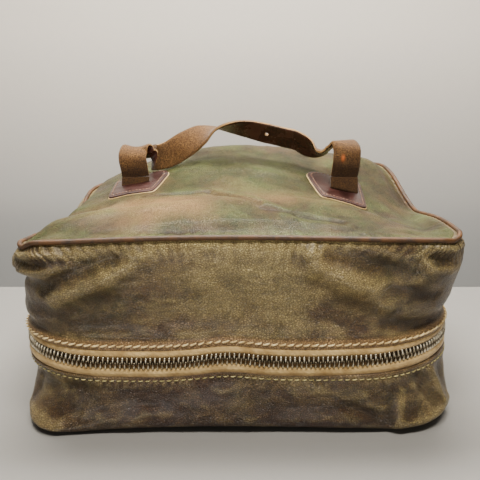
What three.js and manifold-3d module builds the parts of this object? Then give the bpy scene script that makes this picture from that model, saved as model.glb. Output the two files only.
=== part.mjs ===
// A leather ski boot bag: a shallow tray and a taller lid, closed by a heavy metal zip that runs along both
// sides and the front, with a one-piece leather carrying strap on the lid. The lid folds back on the leather
// of the back wall. Millimetres, +Z up, origin at the centre of the base's underside, -Y is the front.
import * as THREE from "three";
import { mergeVertices } from "three/addons/utils/BufferGeometryUtils.js";
import Module from "manifold-3d";

const wasm = await Module();
wasm.setup();

// ---------------------------------------------------------------- driving dimensions
const HALF_WIDTH = 196; // nominal wall line, before its outset
const HALF_DEPTH = 146;
const SEAM_Y = 78; // upright side seams, where the zip ends and the back gusset starts
const ZIP_Z = 70.5; // height of the closed zip's centre line, and of the lid's fold
const LEATHER = 2.6;
const LINING = 0.8;
const TAPE = 0.9;
const GAP = 0.4; // clearance kept between pieces that touch
const FRONT_TOP_Z = 180; // top edge of the front wall
const SEAM_TOP_Z = 168; // the top edge dips at the side seams
const BACK_TOP_Z = 205; // and stands higher along the back
const TOP_TAPER = 0.07; // the top is this much narrower at the back
const FOLD_Y = HALF_DEPTH + 5; // the lid's fold line, on the outside of the back wall

const PIPING_R = 2.6;
const BASE_PIPING_R = 2.0;

const CHAIN_HALF = 5.6; // half the width of the closed chain of teeth
const CHAIN_THICK = 4.4;
const CHAIN_OUTSET = 6.6; // outer face of the teeth, from the nominal wall line
const ZIP_OPENING = 12.5; // from the zip's centre line to each leather edge

const STRAP_WIDTH = 28;
const STRAP_THICK = 3.6;
const ROOT_X = 104.5; // the strap's sewn ends
const ROOT_Y = -25;
const FLEX_Z = 214; // the strap bends on this line, just above its sewn ends

const SLIDER_Y = 62;
const SLIDER_LENGTH = 20;

const LEATHER_OLIVE = { color: 0x6b6046, roughness: 0.55, metalness: 0 };
const LEATHER_SAGE = { color: 0x8c8a68, roughness: 0.55, metalness: 0 };
const LEATHER_TAN = { color: 0x9a6b3c, roughness: 0.6, metalness: 0 };
const LEATHER_BROWN = { color: 0x4a2c20, roughness: 0.45, metalness: 0 };
const SUEDE_BROWN = { color: 0x6e4a2a, roughness: 0.9, metalness: 0 };
const TAPE_TAN = { color: 0xc09a68, roughness: 0.9, metalness: 0 };
const TWILL = { color: 0xb7a686, roughness: 0.95, metalness: 0 };
const BOARD = { color: 0x6a5a48, roughness: 0.95, metalness: 0 };
const NICKEL = { color: 0xb5ada0, roughness: 0.3, metalness: 1 };

const bag = new THREE.Group();

function addPiece(name, geometry, look, parent = bag) {
  const mesh = new THREE.Mesh(geometry, new THREE.MeshStandardMaterial(look));
  mesh.name = name;
  parent.add(mesh);
  return mesh;
}

const mix = (a, b, t) => a + (b - a) * t;
const smooth = (a, b, v) => {
  const t = Math.min(1, Math.max(0, (v - a) / (b - a)));
  return t * t * (3 - 2 * t);
};

// Height of the top edge along the depth of the bag.
function topEdge(y) {
  const dip = (FRONT_TOP_Z - SEAM_TOP_Z) * smooth(-100, SEAM_Y - 6, y);
  return FRONT_TOP_Z - dip + (BACK_TOP_Z - SEAM_TOP_Z) * smooth(SEAM_Y - 4, HALF_DEPTH - 2, y);
}

// ---------------------------------------------------------------- the wall line
// A station is a place on the rounded outline: a straight or a corner, and how far along it.
function stations(kind, steps, from = 0, to = 1) {
  return Array.from({ length: steps + 1 }, (_, i) => ({ kind, t: mix(from, to, i / steps) }));
}
const join = (...runs) => runs.flatMap((run, i) => (i ? run.slice(1) : run));
const CORNER_STEPS = 7;
const frontRun = join(
  stations("leftSide", 3),
  stations("frontLeft", CORNER_STEPS),
  stations("front", 4),
  stations("frontRight", CORNER_STEPS),
  stations("rightSide", 3),
);
const backRun = join(
  stations("rightRear", 1),
  stations("backRight", CORNER_STEPS),
  stations("back", 4),
  stations("backLeft", CORNER_STEPS),
  stations("leftRear", 1),
);
const wholeRun = join(frontRun, backRun).slice(0, -1);

// The point of a station on a ring: { out, front, back } are the ring's outset and its corner radii.
function onRing({ kind, t }, { out, front, back }, seamShift = 0) {
  const x = HALF_WIDTH + out;
  const y = HALF_DEPTH + out;
  const seam = SEAM_Y + seamShift;
  const angle = (t * Math.PI) / 2;
  const cos = Math.cos(angle);
  const sin = Math.sin(angle);
  switch (kind) {
    case "leftSide":
      return [-x, mix(seam, -y + front, t)];
    case "frontLeft":
      return [-x + front - front * cos, -y + front - front * sin];
    case "front":
      return [mix(-x + front, x - front, t), -y];
    case "frontRight":
      return [x - front + front * sin, -y + front - front * cos];
    case "rightSide":
      return [x, mix(-y + front, seam, t)];
    case "rightRear":
      return [x, mix(seam, y - back, t)];
    case "backRight":
      return [x - back + back * cos, y - back + back * sin];
    case "back":
      return [mix(x - back, -x + back, t), y];
    case "backLeft":
      return [-x + back - back * sin, y - back + back * cos];
    default:
      return [-x, mix(y - back, seam, t)];
  }
}

// A level is { z, out, front, back, high }: high is 0 below the zip and grows to 1 at the top edge, where the
// level follows the shaped top edge and the taper.
function levelPoint(station, level, seamShift) {
  const [x, y] = onRing(station, level, seamShift);
  const high = level.high ?? 0;
  const z = level.z + (topEdge(y) - FRONT_TOP_Z) * high;
  return [x * (1 - TOP_TAPER * high * ((y + HALF_DEPTH) / (2 * HALF_DEPTH))), y, z];
}

// Levels moved inwards by a distance, square to the wall's profile.
function inwards(levels, distance) {
  return levels.map((level, i) => {
    const before = levels[Math.max(0, i - 1)];
    const after = levels[Math.min(levels.length - 1, i + 1)];
    const run = Math.hypot(after.out - before.out, after.z - before.z);
    const shift = (distance * (after.z - before.z)) / run;
    return {
      ...level,
      out: level.out - shift,
      z: level.z + (distance * (after.out - before.out)) / run,
      front: Math.max(1, level.front - shift),
      back: Math.max(1, level.back - shift),
    };
  });
}

// ---------------------------------------------------------------- closed solids from point grids
function geometryFrom(points, faces) {
  const geometry = new THREE.BufferGeometry();
  geometry.setAttribute("position", new THREE.Float32BufferAttribute(points.flat(), 3));
  geometry.setIndex(faces.flat());
  geometry.computeVertexNormals();
  return geometry;
}

// A wall strip: outer and inner grids of stations by levels, closed along every edge.
function stripSolid(run, outerLevels, innerLevels, seamShift = 0) {
  const count = outerLevels.length;
  const grid = (levels) =>
    run.flatMap((station) => levels.map((level) => levelPoint(station, level, seamShift)));
  const points = [...grid(outerLevels), ...grid(innerLevels)];
  const inner = run.length * count;
  const faces = [];
  const quad = (a, b, c, d) => faces.push([a, b, c], [a, c, d]);
  for (let i = 0; i < run.length - 1; i++) {
    for (let k = 0; k < count - 1; k++) {
      const a = i * count + k;
      const b = a + count;
      quad(a, b, b + 1, a + 1);
      quad(inner + a, inner + a + 1, inner + b + 1, inner + b);
    }
    const low = i * count;
    const top = low + count - 1;
    quad(low, inner + low, inner + low + count, low + count);
    quad(top, top + count, inner + top + count, inner + top);
  }
  const last = (run.length - 1) * count;
  for (let k = 0; k < count - 1; k++) {
    quad(k, k + 1, inner + k + 1, inner + k);
    quad(last + k, inner + last + k, inner + last + k + 1, last + k + 1);
  }
  return geometryFrom(points, faces);
}

// A bowl or a dome: rings of points from a centre outwards, as an outer and an inner skin joined at the rim.
function bowlSolid(outerCentre, outerRings, innerCentre, innerRings) {
  const around = outerRings[0].length;
  const points = [outerCentre, ...outerRings.flat(), innerCentre, ...innerRings.flat()];
  const second = 1 + outerRings.length * around;
  const faces = [];
  const skin = (start, rings, flip) => {
    const add = (a, b, c) => faces.push(flip ? [a, c, b] : [a, b, c]);
    for (let i = 0; i < around; i++) {
      const j = (i + 1) % around;
      add(start, start + 1 + i, start + 1 + j);
      for (let r = 0; r < rings.length - 1; r++) {
        const low = start + 1 + r * around;
        add(low + i, low + around + i, low + around + j);
        add(low + i, low + around + j, low + j);
      }
    }
  };
  skin(0, outerRings, false);
  skin(second, innerRings, true);
  const rim = 1 + (outerRings.length - 1) * around;
  for (let i = 0; i < around; i++) {
    const j = (i + 1) % around;
    faces.push([rim + i, second + rim + i, second + rim + j], [rim + i, second + rim + j, rim + j]);
  }
  return geometryFrom(points, faces);
}

// A tube of round section along a closed loop of points.
function loopTube(points, radius) {
  const curve = new THREE.CatmullRomCurve3(points.map((p) => new THREE.Vector3(...p)), true);
  const sides = 6;
  const ring = points.length;
  const made = [];
  for (let i = 0; i < ring; i++) {
    const along = curve.getTangent(i / ring);
    const out = new THREE.Vector3(along.y, -along.x, 0).normalize();
    const up = new THREE.Vector3().crossVectors(out, along).normalize();
    for (let k = 0; k < sides; k++) {
      const angle = (k / sides) * 2 * Math.PI;
      const offset = out.clone().multiplyScalar(Math.cos(angle) * radius);
      offset.addScaledVector(up, Math.sin(angle) * radius);
      made.push([points[i][0] + offset.x, points[i][1] + offset.y, points[i][2] + offset.z]);
    }
  }
  const faces = [];
  for (let i = 0; i < ring; i++) {
    for (let k = 0; k < sides; k++) {
      const j = (i + 1) % ring;
      const next = (k + 1) % sides;
      faces.push([i * sides + k, j * sides + k, j * sides + next]);
      faces.push([i * sides + k, j * sides + next, i * sides + next]);
    }
  }
  return geometryFrom(made, faces);
}

// ---------------------------------------------------------------- solids with cuts
function toManifold(geometry) {
  const plain = geometry.clone();
  plain.deleteAttribute("normal");
  plain.deleteAttribute("uv");
  const merged = mergeVertices(plain, 1e-4);
  return new wasm.Manifold(
    new wasm.Mesh({
      numProp: 3,
      vertProperties: new Float32Array(merged.attributes.position.array),
      triVerts: new Uint32Array(merged.index.array),
    }),
  );
}

function fromManifold(solid) {
  const { vertProperties, triVerts } = solid.getMesh();
  const geometry = new THREE.BufferGeometry();
  geometry.setAttribute("position", new THREE.Float32BufferAttribute(vertProperties, 3));
  geometry.setIndex(Array.from(triVerts));
  geometry.computeVertexNormals();
  return geometry;
}

const blockAt = (sx, sy, sz, x, y, z) => new THREE.BoxGeometry(sx, sy, sz).translate(x, y, z);
const union = (...shapes) => fromManifold(shapes.map(toManifold).reduce((a, b) => a.add(b)));

// ---------------------------------------------------------------- wall profiles, from the bottom up
const LOWER_WALL = [
  { z: 1.2, out: -10.5, front: 52, back: 48 },
  { z: 4.5, out: -2.5, front: 60, back: 54 },
  { z: 12, out: 4.5, front: 66, back: 58 },
  { z: 24, out: 7, front: 70, back: 60 },
  { z: 42, out: 4, front: 70, back: 60 },
  { z: ZIP_Z - ZIP_OPENING, out: 3, front: 70, back: 60 },
];
const UPPER_WALL = [
  { z: ZIP_Z + ZIP_OPENING, out: 3, front: 70, back: 60, high: 0 },
  { z: 95, out: 0.5, front: 68, back: 60, high: 0.1 },
  { z: 116, out: 0.5, front: 62, back: 60, high: 0.35 },
  { z: 144, out: 6, front: 50, back: 62, high: 0.65 },
  { z: 170, out: 6, front: 36, back: 64, high: 0.9 },
  { z: FRONT_TOP_Z, out: 3, front: 30, back: 64, high: 1 },
];
const tapeLevels = (side) => {
  const rows = [
    { reach: CHAIN_HALF + 0.9, out: 4.6 },
    { reach: CHAIN_HALF + 3, out: 2.8 },
    { reach: ZIP_OPENING, out: -0.6 },
    { reach: ZIP_OPENING + 9, out: -2.9 },
  ];
  const levels = rows.map(({ reach, out }) => ({ z: ZIP_Z + side * reach, out, front: 69, back: 59 }));
  return side > 0 ? levels : levels.reverse();
};

// The back gusset carries the lid's fold, so its halves meet at the zip's height.
const LOWER_BACK = [...LOWER_WALL, { z: ZIP_Z - GAP, out: 4, front: 70, back: 60 }];
const UPPER_BACK = [{ z: ZIP_Z + GAP, out: 4, front: 70, back: 60, high: 0 }, ...UPPER_WALL];

function wall(name, run, levels, seamShift) {
  addPiece(name, stripSolid(run, levels, inwards(levels, LEATHER), seamShift), LEATHER_OLIVE);
}

// ---------------------------------------------------------------- tray
const ringLevel = (level) => wholeRun.map((station) => levelPoint(station, level));

function basePanel() {
  const edge = { out: -16.6, front: 44, back: 42 };
  const ring = (z) => ringLevel({ ...edge, z }).reverse();
  const underside = [0, 0, 0];
  addPiece("base_panel", bowlSolid(underside, [ring(0)], [0, 0, LEATHER], [ring(LEATHER)]), LEATHER_OLIVE);
  const board = { out: -24, front: 38, back: 36 };
  const low = LEATHER + GAP;
  const boardRing = (z) => ringLevel({ ...board, z }).reverse();
  addPiece("base_board", bowlSolid([0, 0, low], [boardRing(low)], [0, 0, low + 2], [boardRing(low + 2)]), BOARD);
  const cord = ringLevel({ out: -14.2, front: 46, back: 43, z: BASE_PIPING_R + 0.1 });
  addPiece("base_piping", loopTube(cord, BASE_PIPING_R), LEATHER_TAN);
}

function trayLining() {
  const depth = LEATHER + GAP + TAPE + GAP;
  const skin = (inset) => {
    const floor = LEATHER + GAP + 2 + GAP + inset;
    const levels = [
      { z: floor, out: -24 - inset, front: 38, back: 36 },
      { z: 16, out: 4 - depth - inset, front: 60, back: 52 },
      { z: 30, out: 5.4 - depth - inset, front: 64, back: 54 },
      { z: 45, out: 3 - depth - inset, front: 64, back: 54 },
    ];
    return [[0, 0, floor], levels.map((level) => ringLevel(level).reverse())];
  };
  addPiece("tray_lining", bowlSolid(...skin(0), ...skin(LINING)), TWILL);
}

// ---------------------------------------------------------------- lid
// Height of the top panel: it rises from the front edge to the back one, and its stuffing crowns it.
const CROWN = 20;
function panelHeight(x, y) {
  const edge = mix(FRONT_TOP_Z, BACK_TOP_Z, smooth(-HALF_DEPTH, HALF_DEPTH, y));
  const across = 0.5 + 0.5 * Math.cos((Math.PI * x) / (HALF_WIDTH + 4));
  const along = 1 - Math.pow(Math.abs(y) / (HALF_DEPTH + 4), 4);
  return edge + CROWN * across * Math.max(0, along);
}

const PANEL_EDGE = { z: 0, out: -1.5, front: 26, back: 60, high: 1 };
const PANEL_LIFT = LEATHER + GAP; // the panel's edge sits on the walls' top edge, inside the piping
function panelSkin(drop, inset) {
  const rim = wholeRun.map((station) => levelPoint(station, { ...PANEL_EDGE, out: PANEL_EDGE.out - inset }));
  const shares = [0.25, 0.5, 0.72, 0.88, 0.96, 1];
  const rings = shares.map((share) =>
    rim.map(([x, y]) => {
      const edgeZ = topEdge(y) + PANEL_LIFT;
      const domeZ = panelHeight(x * share, y * share) + PANEL_LIFT;
      const hold = Math.pow(share, 6); // near the rim the panel follows its own seam
      return [x * share, y * share, mix(domeZ, edgeZ, hold) - drop];
    }),
  );
  return [[0, 0, panelHeight(0, 0) + PANEL_LIFT - drop], rings];
}

function topPanel() {
  addPiece("top_panel", bowlSolid(...panelSkin(0, 0), ...panelSkin(LEATHER, 0)), LEATHER_SAGE);
  const seam = { ...PANEL_EDGE, out: 3.2, front: 30, back: 64 };
  const cord = wholeRun.map((station) => {
    const [x, y] = levelPoint(station, seam);
    return [x, y, topEdge(y) + PIPING_R + GAP];
  });
  addPiece("top_piping", loopTube(cord, PIPING_R), LEATHER_TAN);
}

function lidLining() {
  const depth = LEATHER + GAP + TAPE + GAP;
  const skin = (inset) => {
    const [centre, dome] = panelSkin(LEATHER + GAP + inset, depth + 1 + inset);
    const wallLevels = [
      { z: 166, out: 5 - depth - inset, front: 34, back: 60, high: 0.9 },
      { z: 144, out: 5 - depth - inset, front: 44, back: 58, high: 0.65 },
      { z: 116, out: -depth - inset, front: 56, back: 54, high: 0.35 },
      { z: 96, out: -depth - inset, front: 62, back: 54, high: 0.1 },
    ];
    return [centre, [...dome, ...wallLevels.map(ringLevel)]];
  };
  const [outerCentre, outerRings] = skin(0);
  const [innerCentre, innerRings] = skin(LINING);
  addPiece("lid_lining", bowlSolid(outerCentre, outerRings, innerCentre, innerRings), TWILL);
}

// ---------------------------------------------------------------- zip
const CHAIN_LEVELS = (from, to) => [
  { z: from, out: CHAIN_OUTSET, front: 70, back: 60 },
  { z: to, out: CHAIN_OUTSET, front: 70, back: 60 },
];
const ZIP_SHIFT = -2; // the zip stops short of the side seams
const CHAIN_STOP = { lower: -3, upper: -28 }; // the lid's teeth start clear of the parked slider

function zip() {
  for (const [name, side] of [["lower", -1], ["upper", 1]]) {
    const levels = tapeLevels(side);
    const inner = inwards(levels, TAPE);
    addPiece(`${name}_zip_tape`, stripSolid(frontRun, levels, inner, ZIP_SHIFT), TAPE_TAN);
    const [near, far] = [ZIP_Z + side * (GAP / 2), ZIP_Z + side * CHAIN_HALF];
    const row = CHAIN_LEVELS(Math.min(near, far), Math.max(near, far));
    const back = row.map((level) => ({ ...level, out: level.out - CHAIN_THICK, front: 66, back: 56 }));
    addPiece(`${name}_zip_chain`, stripSolid(frontRun, row, back, ZIP_SHIFT + CHAIN_STOP[name]), NICKEL);
  }
}

// Leather tabs over the zip's ends, on the outside of the back gusset.
function endTabs() {
  for (const [name, side] of [["left", -1], ["right", 1]]) {
    const x = side * (HALF_WIDTH + 8.6);
    addPiece(`zip_end_tab_${name}`, blockAt(2, 12, 34, x, SEAM_Y + 4, ZIP_Z), LEATHER_OLIVE);
  }
}

// The slider's outer plate with its flanges and bridge, on the right-hand side of the bag.
const PLATE_THICK = 1.6;
const PLATE_X = HALF_WIDTH + CHAIN_OUTSET + GAP; // inner face of the outer plate
const PULL_BAR_X = PLATE_X + PLATE_THICK + 1.8;
function slider() {
  const plate = PLATE_X + PLATE_THICK / 2;
  const height = 2 * (CHAIN_HALF + 2.4);
  const flange = (side) =>
    blockAt(2, SLIDER_LENGTH, 1.4, PLATE_X - 0.8, SLIDER_Y, ZIP_Z + side * (height / 2 - 0.7));
  const post = (shift) => blockAt(3.4, 4, 2.4, PLATE_X + PLATE_THICK + 1.4, SLIDER_Y, ZIP_Z + shift);
  const arch = blockAt(1.8, 4, 14.4, PULL_BAR_X + 2.1, SLIDER_Y, ZIP_Z);
  const shell = blockAt(PLATE_THICK, SLIDER_LENGTH, height, plate, SLIDER_Y, ZIP_Z);
  addPiece("slider_body", union(shell, flange(1), flange(-1), post(6), post(-6), arch), NICKEL);
  const back = HALF_WIDTH + CHAIN_OUTSET - CHAIN_THICK - GAP - PLATE_THICK / 2;
  addPiece("slider_back_plate", blockAt(PLATE_THICK, SLIDER_LENGTH, 2 * CHAIN_HALF + 1, back, SLIDER_Y, ZIP_Z), NICKEL);
}

// The pull hangs by a bar under the slider's bridge, its two legs either side of the bridge.
const PULL_LENGTH = 36;
function pull() {
  const bar = new THREE.CylinderGeometry(0.8, 0.8, 9.6, 10).translate(PULL_BAR_X, SLIDER_Y, ZIP_Z);
  const leg = (shift) => blockAt(1.4, 1.6, 9, PULL_BAR_X, SLIDER_Y + shift, ZIP_Z - 4);
  const plate = blockAt(1.4, 9.6, PULL_LENGTH - 8, PULL_BAR_X, SLIDER_Y, ZIP_Z - 8 - (PULL_LENGTH - 8) / 2);
  addPiece("slider_pull", union(bar, leg(4), leg(-4), plate), NICKEL);
}

// ---------------------------------------------------------------- handle
// The patch's outline about the strap's sewn end, as on the right; the left one is mirrored.
const PATCH_OUTLINE = [[16, -25], [16, 24], [-33, 24], [-39, 17], [-26, -25]];
const PATCH_THICK = 2.4;
const PATCH_LEAN = THREE.MathUtils.degToRad(8.9);
const PATCH_PITCH = THREE.MathUtils.degToRad(6.6);
function patchAndAnchor(name, side) {
  const outline = new THREE.Shape(PATCH_OUTLINE.map(([x, y]) => new THREE.Vector2(side * x, y)));
  const tilt = new THREE.Matrix4().makeRotationFromEuler(new THREE.Euler(PATCH_PITCH, side * PATCH_LEAN, 0));
  tilt.setPosition(side * ROOT_X, ROOT_Y, panelHeight(ROOT_X, ROOT_Y) + PANEL_LIFT + 2 * GAP);
  const plate = new THREE.ExtrudeGeometry(outline, { depth: PATCH_THICK, bevelEnabled: false });
  addPiece(`handle_patch_${name}`, plate.applyMatrix4(tilt), LEATHER_BROWN);
  const foot = blockAt(STRAP_WIDTH, 9, 2.4, 0, 0, PATCH_THICK + GAP + 1.2).applyMatrix4(tilt);
  const high = FLEX_Z - STRAP_THICK / 2 - GAP;
  const stub = blockAt(STRAP_WIDTH - 1, STRAP_THICK, 3.6, side * ROOT_X, ROOT_Y, high - 1.8);
  addPiece(`handle_end_${name}`, union(foot, stub), SUEDE_BROWN);
}

// The strap's centre line from the left end to the right one, and the way its width points at each station.
const STRAP_ROUTE = [
  { at: [-ROOT_X, ROOT_Y, FLEX_Z], across: [1, 0, 0] },
  { at: [-ROOT_X, -28, 223], across: [1, 0, 0] },
  { at: [-107, -26, 235], across: [1, 0.05, 0] },
  { at: [-104.5, -17, 240.5], across: [0.98, 0.2, -0.05] },
  { at: [-97, -8, 234], across: [0.9, 0.35, -0.25] },
  { at: [-88, -1, 228], across: [0.75, 0.45, -0.5] },
  { at: [-76, 4, 229], across: [0.5, 0.2, -0.85] },
  { at: [-57, 9, 241], across: [0.3, -0.3, -0.85] },
  { at: [-40, 12, 251], across: [0.25, -0.7, -0.55] },
  { at: [-24, 13, 257], across: [0.05, -1, 0.1] },
  { at: [-8, 13, 258], across: [0, -0.85, 0.5] },
  { at: [8, 12.5, 256.5], across: [0, -0.7, 0.72] },
  { at: [26, 12, 252.5], across: [0, -0.6, 0.8] },
  { at: [43, 10, 248.5], across: [0, -0.6, 0.8] },
  { at: [58, 8, 245], across: [0.05, -0.6, 0.8] },
  { at: [70, 3, 239.5], across: [0.3, -0.7, 0.65] },
  { at: [83, -4, 237], across: [0.1, -0.95, 0.3] },
  { at: [95, -12, 243], across: [-0.45, -0.9, 0.1] },
  { at: [103, -21, 248], across: [-0.9, -0.4, 0] },
  { at: [106, -28, 243], across: [-1, -0.05, 0] },
  { at: [ROOT_X, -31, 229], across: [-1, 0, 0] },
  { at: [ROOT_X, ROOT_Y, FLEX_Z], across: [-1, 0, 0] },
];
const STRAP_STEPS = 66;
const HOLE_AT = 0.58; // share of the strap's length where its one punched hole is
const HOLE_R = 2;

function strap() {
  const centre = new THREE.CatmullRomCurve3(STRAP_ROUTE.map(({ at }) => new THREE.Vector3(...at)), false, "centripetal");
  const widths = STRAP_ROUTE.map(({ across }) => new THREE.Vector3(...across).normalize());
  const frameAt = (share) => {
    const at = centre.getPoint(share);
    const along = centre.getTangent(share);
    const place = share * (widths.length - 1);
    const i = Math.min(widths.length - 2, Math.floor(place));
    const across = widths[i].clone().lerp(widths[i + 1], place - i);
    across.addScaledVector(along, -across.dot(along)).normalize();
    const face = new THREE.Vector3().crossVectors(along, across);
    return { at, across, face };
  };
  const points = [];
  const corner = ({ at, across, face }, w, f) =>
    at.clone().addScaledVector(across, (w * STRAP_WIDTH) / 2).addScaledVector(face, (f * STRAP_THICK) / 2).toArray();
  const section = [[-1, -1], [1, -1], [1, 1], [-1, 1]];
  for (let i = 0; i <= STRAP_STEPS; i++) {
    const frame = frameAt(i / STRAP_STEPS);
    points.push(...section.map(([w, f]) => corner(frame, w, f)));
  }
  const faces = [];
  for (let i = 0; i < STRAP_STEPS; i++) {
    for (let k = 0; k < 4; k++) {
      const [a, b] = [i * 4 + k, i * 4 + ((k + 1) % 4)];
      faces.push([a, b, b + 4], [a, b + 4, a + 4]);
    }
  }
  const end = STRAP_STEPS * 4;
  faces.push([0, 2, 1], [0, 3, 2], [end, end + 1, end + 2], [end, end + 2, end + 3]);
  const band = toManifold(geometryFrom(points, faces));
  const roundEnd = (x) =>
    toManifold(new THREE.CylinderGeometry(STRAP_THICK / 2, STRAP_THICK / 2, STRAP_WIDTH, 12).rotateZ(Math.PI / 2).translate(x, ROOT_Y, FLEX_Z));
  const { at, face } = frameAt(HOLE_AT);
  const punch = new THREE.CylinderGeometry(HOLE_R, HOLE_R, 4 * STRAP_THICK, 10);
  punch.applyQuaternion(new THREE.Quaternion().setFromUnitVectors(new THREE.Vector3(0, 1, 0), face));
  punch.translate(at.x, at.y, at.z);
  const whole = band.add(roundEnd(-ROOT_X)).add(roundEnd(ROOT_X)).subtract(toManifold(punch));
  addPiece("handle_strap", fromManifold(whole), SUEDE_BROWN);
}

// ---------------------------------------------------------------- assembly
basePanel();
trayLining();
wall("lower_front_wall", frontRun, LOWER_WALL, -GAP / 2);
wall("lower_back_wall", backRun, LOWER_BACK, GAP / 2);
wall("upper_front_wall", frontRun, UPPER_WALL, -GAP / 2);
wall("upper_back_wall", backRun, UPPER_BACK, GAP / 2);
topPanel();
lidLining();
zip();
endTabs();
slider();
pull();
patchAndAnchor("left", -1);
patchAndAnchor("right", 1);
strap();

export default bag;
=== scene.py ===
"""A leather ski boot bag: washed leather walls and top, a heavy metal zip and a flat carrying strap."""
import math

import bmesh
import bpy
import numpy as np
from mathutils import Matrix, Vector, noise


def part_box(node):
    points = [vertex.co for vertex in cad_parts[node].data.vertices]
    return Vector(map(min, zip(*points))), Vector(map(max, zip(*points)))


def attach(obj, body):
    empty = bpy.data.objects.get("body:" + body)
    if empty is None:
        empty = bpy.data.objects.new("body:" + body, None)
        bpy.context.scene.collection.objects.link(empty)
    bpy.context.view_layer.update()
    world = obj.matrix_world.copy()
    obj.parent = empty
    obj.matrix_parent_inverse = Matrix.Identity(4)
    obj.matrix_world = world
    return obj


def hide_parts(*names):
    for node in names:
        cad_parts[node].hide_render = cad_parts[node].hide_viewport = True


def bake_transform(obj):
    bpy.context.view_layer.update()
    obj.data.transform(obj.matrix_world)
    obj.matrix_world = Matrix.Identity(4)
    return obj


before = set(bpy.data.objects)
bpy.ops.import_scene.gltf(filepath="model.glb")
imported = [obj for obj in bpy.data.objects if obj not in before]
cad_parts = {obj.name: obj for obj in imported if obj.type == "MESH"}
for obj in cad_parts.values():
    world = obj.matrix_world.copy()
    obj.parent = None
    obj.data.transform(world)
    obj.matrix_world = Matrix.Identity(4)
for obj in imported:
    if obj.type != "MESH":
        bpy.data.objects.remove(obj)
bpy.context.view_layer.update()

MM = 0.001

# ------------------------------------------------------------------ driving sizes in millimetres
chain_low, chain_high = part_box("lower_zip_chain")
CHAIN_OUT = 6.6  # the teeth stand this far outside the nominal wall line
HALF_X = chain_high.x / MM - CHAIN_OUT
HALF_Y = -chain_low.y / MM - CHAIN_OUT
ZIP_Z = (chain_high.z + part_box("upper_zip_chain")[0].z) / 2 / MM
OPEN_UP, OPEN_DOWN = 11.8, 14.2  # from the zip's centre line to the leather edges
FRONT_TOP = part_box("top_piping")[0].z / MM + 12
BACK_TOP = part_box("upper_back_wall")[1].z / MM
SEAM_TOP = 168.0
SEAM_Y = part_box("upper_front_wall")[1].y / MM
LEATHER = 1.8

# Distances along the nominal outline, from the middle of the front.
FRONT_END, CORNER_END, SIDE_END, REAR_END, BACK_END = 126.0, 236.0, 398.0, 492.0, 628.0
SEAM = 390.0


def smooth(low, high, v):
    """A smooth step from 0 at low to 1 at high, which may run either way."""
    t = np.clip((v - low) / (high - low), 0, 1)
    return t * t * (3 - 2 * t)


def bell(v, centre, width):
    """A bump of height 1 at the centre."""
    return np.exp(-(((v - centre) / width) ** 2))


def curve(knots, v):
    """A smooth curve through (place, value) knots, by cubic Hermite pieces."""
    places, values = (np.array(k, float) for k in zip(*knots))
    slopes = np.gradient(values, places)
    i = np.clip(np.searchsorted(places, v) - 1, 0, len(places) - 2)
    step = places[i + 1] - places[i]
    t = np.clip((v - places[i]) / step, 0, 1)
    return (
        (2 * t**3 - 3 * t**2 + 1) * values[i]
        + (t**3 - 2 * t**2 + t) * step * slopes[i]
        + (3 * t**2 - 2 * t**3) * values[i + 1]
        + (t**3 - t**2) * step * slopes[i + 1]
    )


def fractal(points, size, octaves=3, seed=0.0):
    """Fractal noise of about -1 to 1 at points in millimetres, its largest features about `size` across."""
    shift = Vector((seed * 17.3, seed * 5.1, seed * 29.7))
    return np.array([noise.fractal(Vector(p) / size + shift, 1.0, 2.1, octaves) for p in points])


def cloud(x, y, size, octaves, seed):
    """Fractal noise over a grid of places on a plane, or along a line."""
    return fractal(np.stack([x, y, 0 * x], -1).reshape(-1, 3), size, octaves, seed).reshape(x.shape)


def along_line(places, walked, grid):
    """The columns of a grid of values, read off at places along a line."""
    return np.stack([np.interp(places, walked, grid[:, i]) for i in range(grid.shape[1])], -1)


def distance_walked(points):
    """The distance along a line up to each of its points."""
    return np.concatenate([[0], np.cumsum(np.linalg.norm(np.diff(points, axis=0), axis=1))])


# ------------------------------------------------------------------ the outline of the bag
def wrapped(a):
    """Distances past the middle of the back, counted from the left instead."""
    return np.where(a > BACK_END, a - 2 * BACK_END, a)


def outline(a, out, front_radius, back_radius):
    """Plan position and outward normal at distance a along the outline, to the right if a is positive."""
    a = wrapped(a)
    side = np.where(a < 0, -1.0, 1.0)
    b = np.abs(a)
    hx, hy = HALF_X + out, HALF_Y + out
    rf, rb = front_radius, back_radius
    quarter = math.pi / 2
    front_turn = np.clip((b - FRONT_END) / (CORNER_END - FRONT_END), 0, 1) * quarter
    rear_turn = np.clip((b - SIDE_END) / (REAR_END - SIDE_END), 0, 1) * quarter
    along_front = np.clip(b / FRONT_END, 0, 1)
    along_side = np.clip((b - CORNER_END) / (SIDE_END - CORNER_END), 0, 1)
    along_back = np.clip((b - REAR_END) / (BACK_END - REAR_END), 0, 1)
    x = along_front * (hx - rf) + rf * np.sin(front_turn)
    x = x - rb * (1 - np.cos(rear_turn)) - along_back * (hx - rb)
    y = -hy + rf * (1 - np.cos(front_turn)) + along_side * (2 * hy - rf - rb) + rb * np.sin(rear_turn)
    turn = front_turn + rear_turn
    return side * x, y, side * np.sin(turn), -np.cos(turn)


def top_edge(y):
    dip = (FRONT_TOP - SEAM_TOP) * smooth(-100, SEAM_Y - 6, y)
    return FRONT_TOP - dip + (BACK_TOP - SEAM_TOP) * smooth(SEAM_Y - 10, HALF_Y - 2, y)


def zip_wave(a):
    """The zip is not quite level: it steps up near the middle and lifts at the front corners."""
    middle = -1.6 * bell(a, -85, 45) + 3.4 * bell(a, -12, 32) - 0.8 * bell(a, 80, 40)
    return middle + 5 * bell(a, 205, 75) + 2 * bell(a, -200, 60)


def zip_radius(a):
    return np.where(a > 0, 96.0, 84.0)


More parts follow.
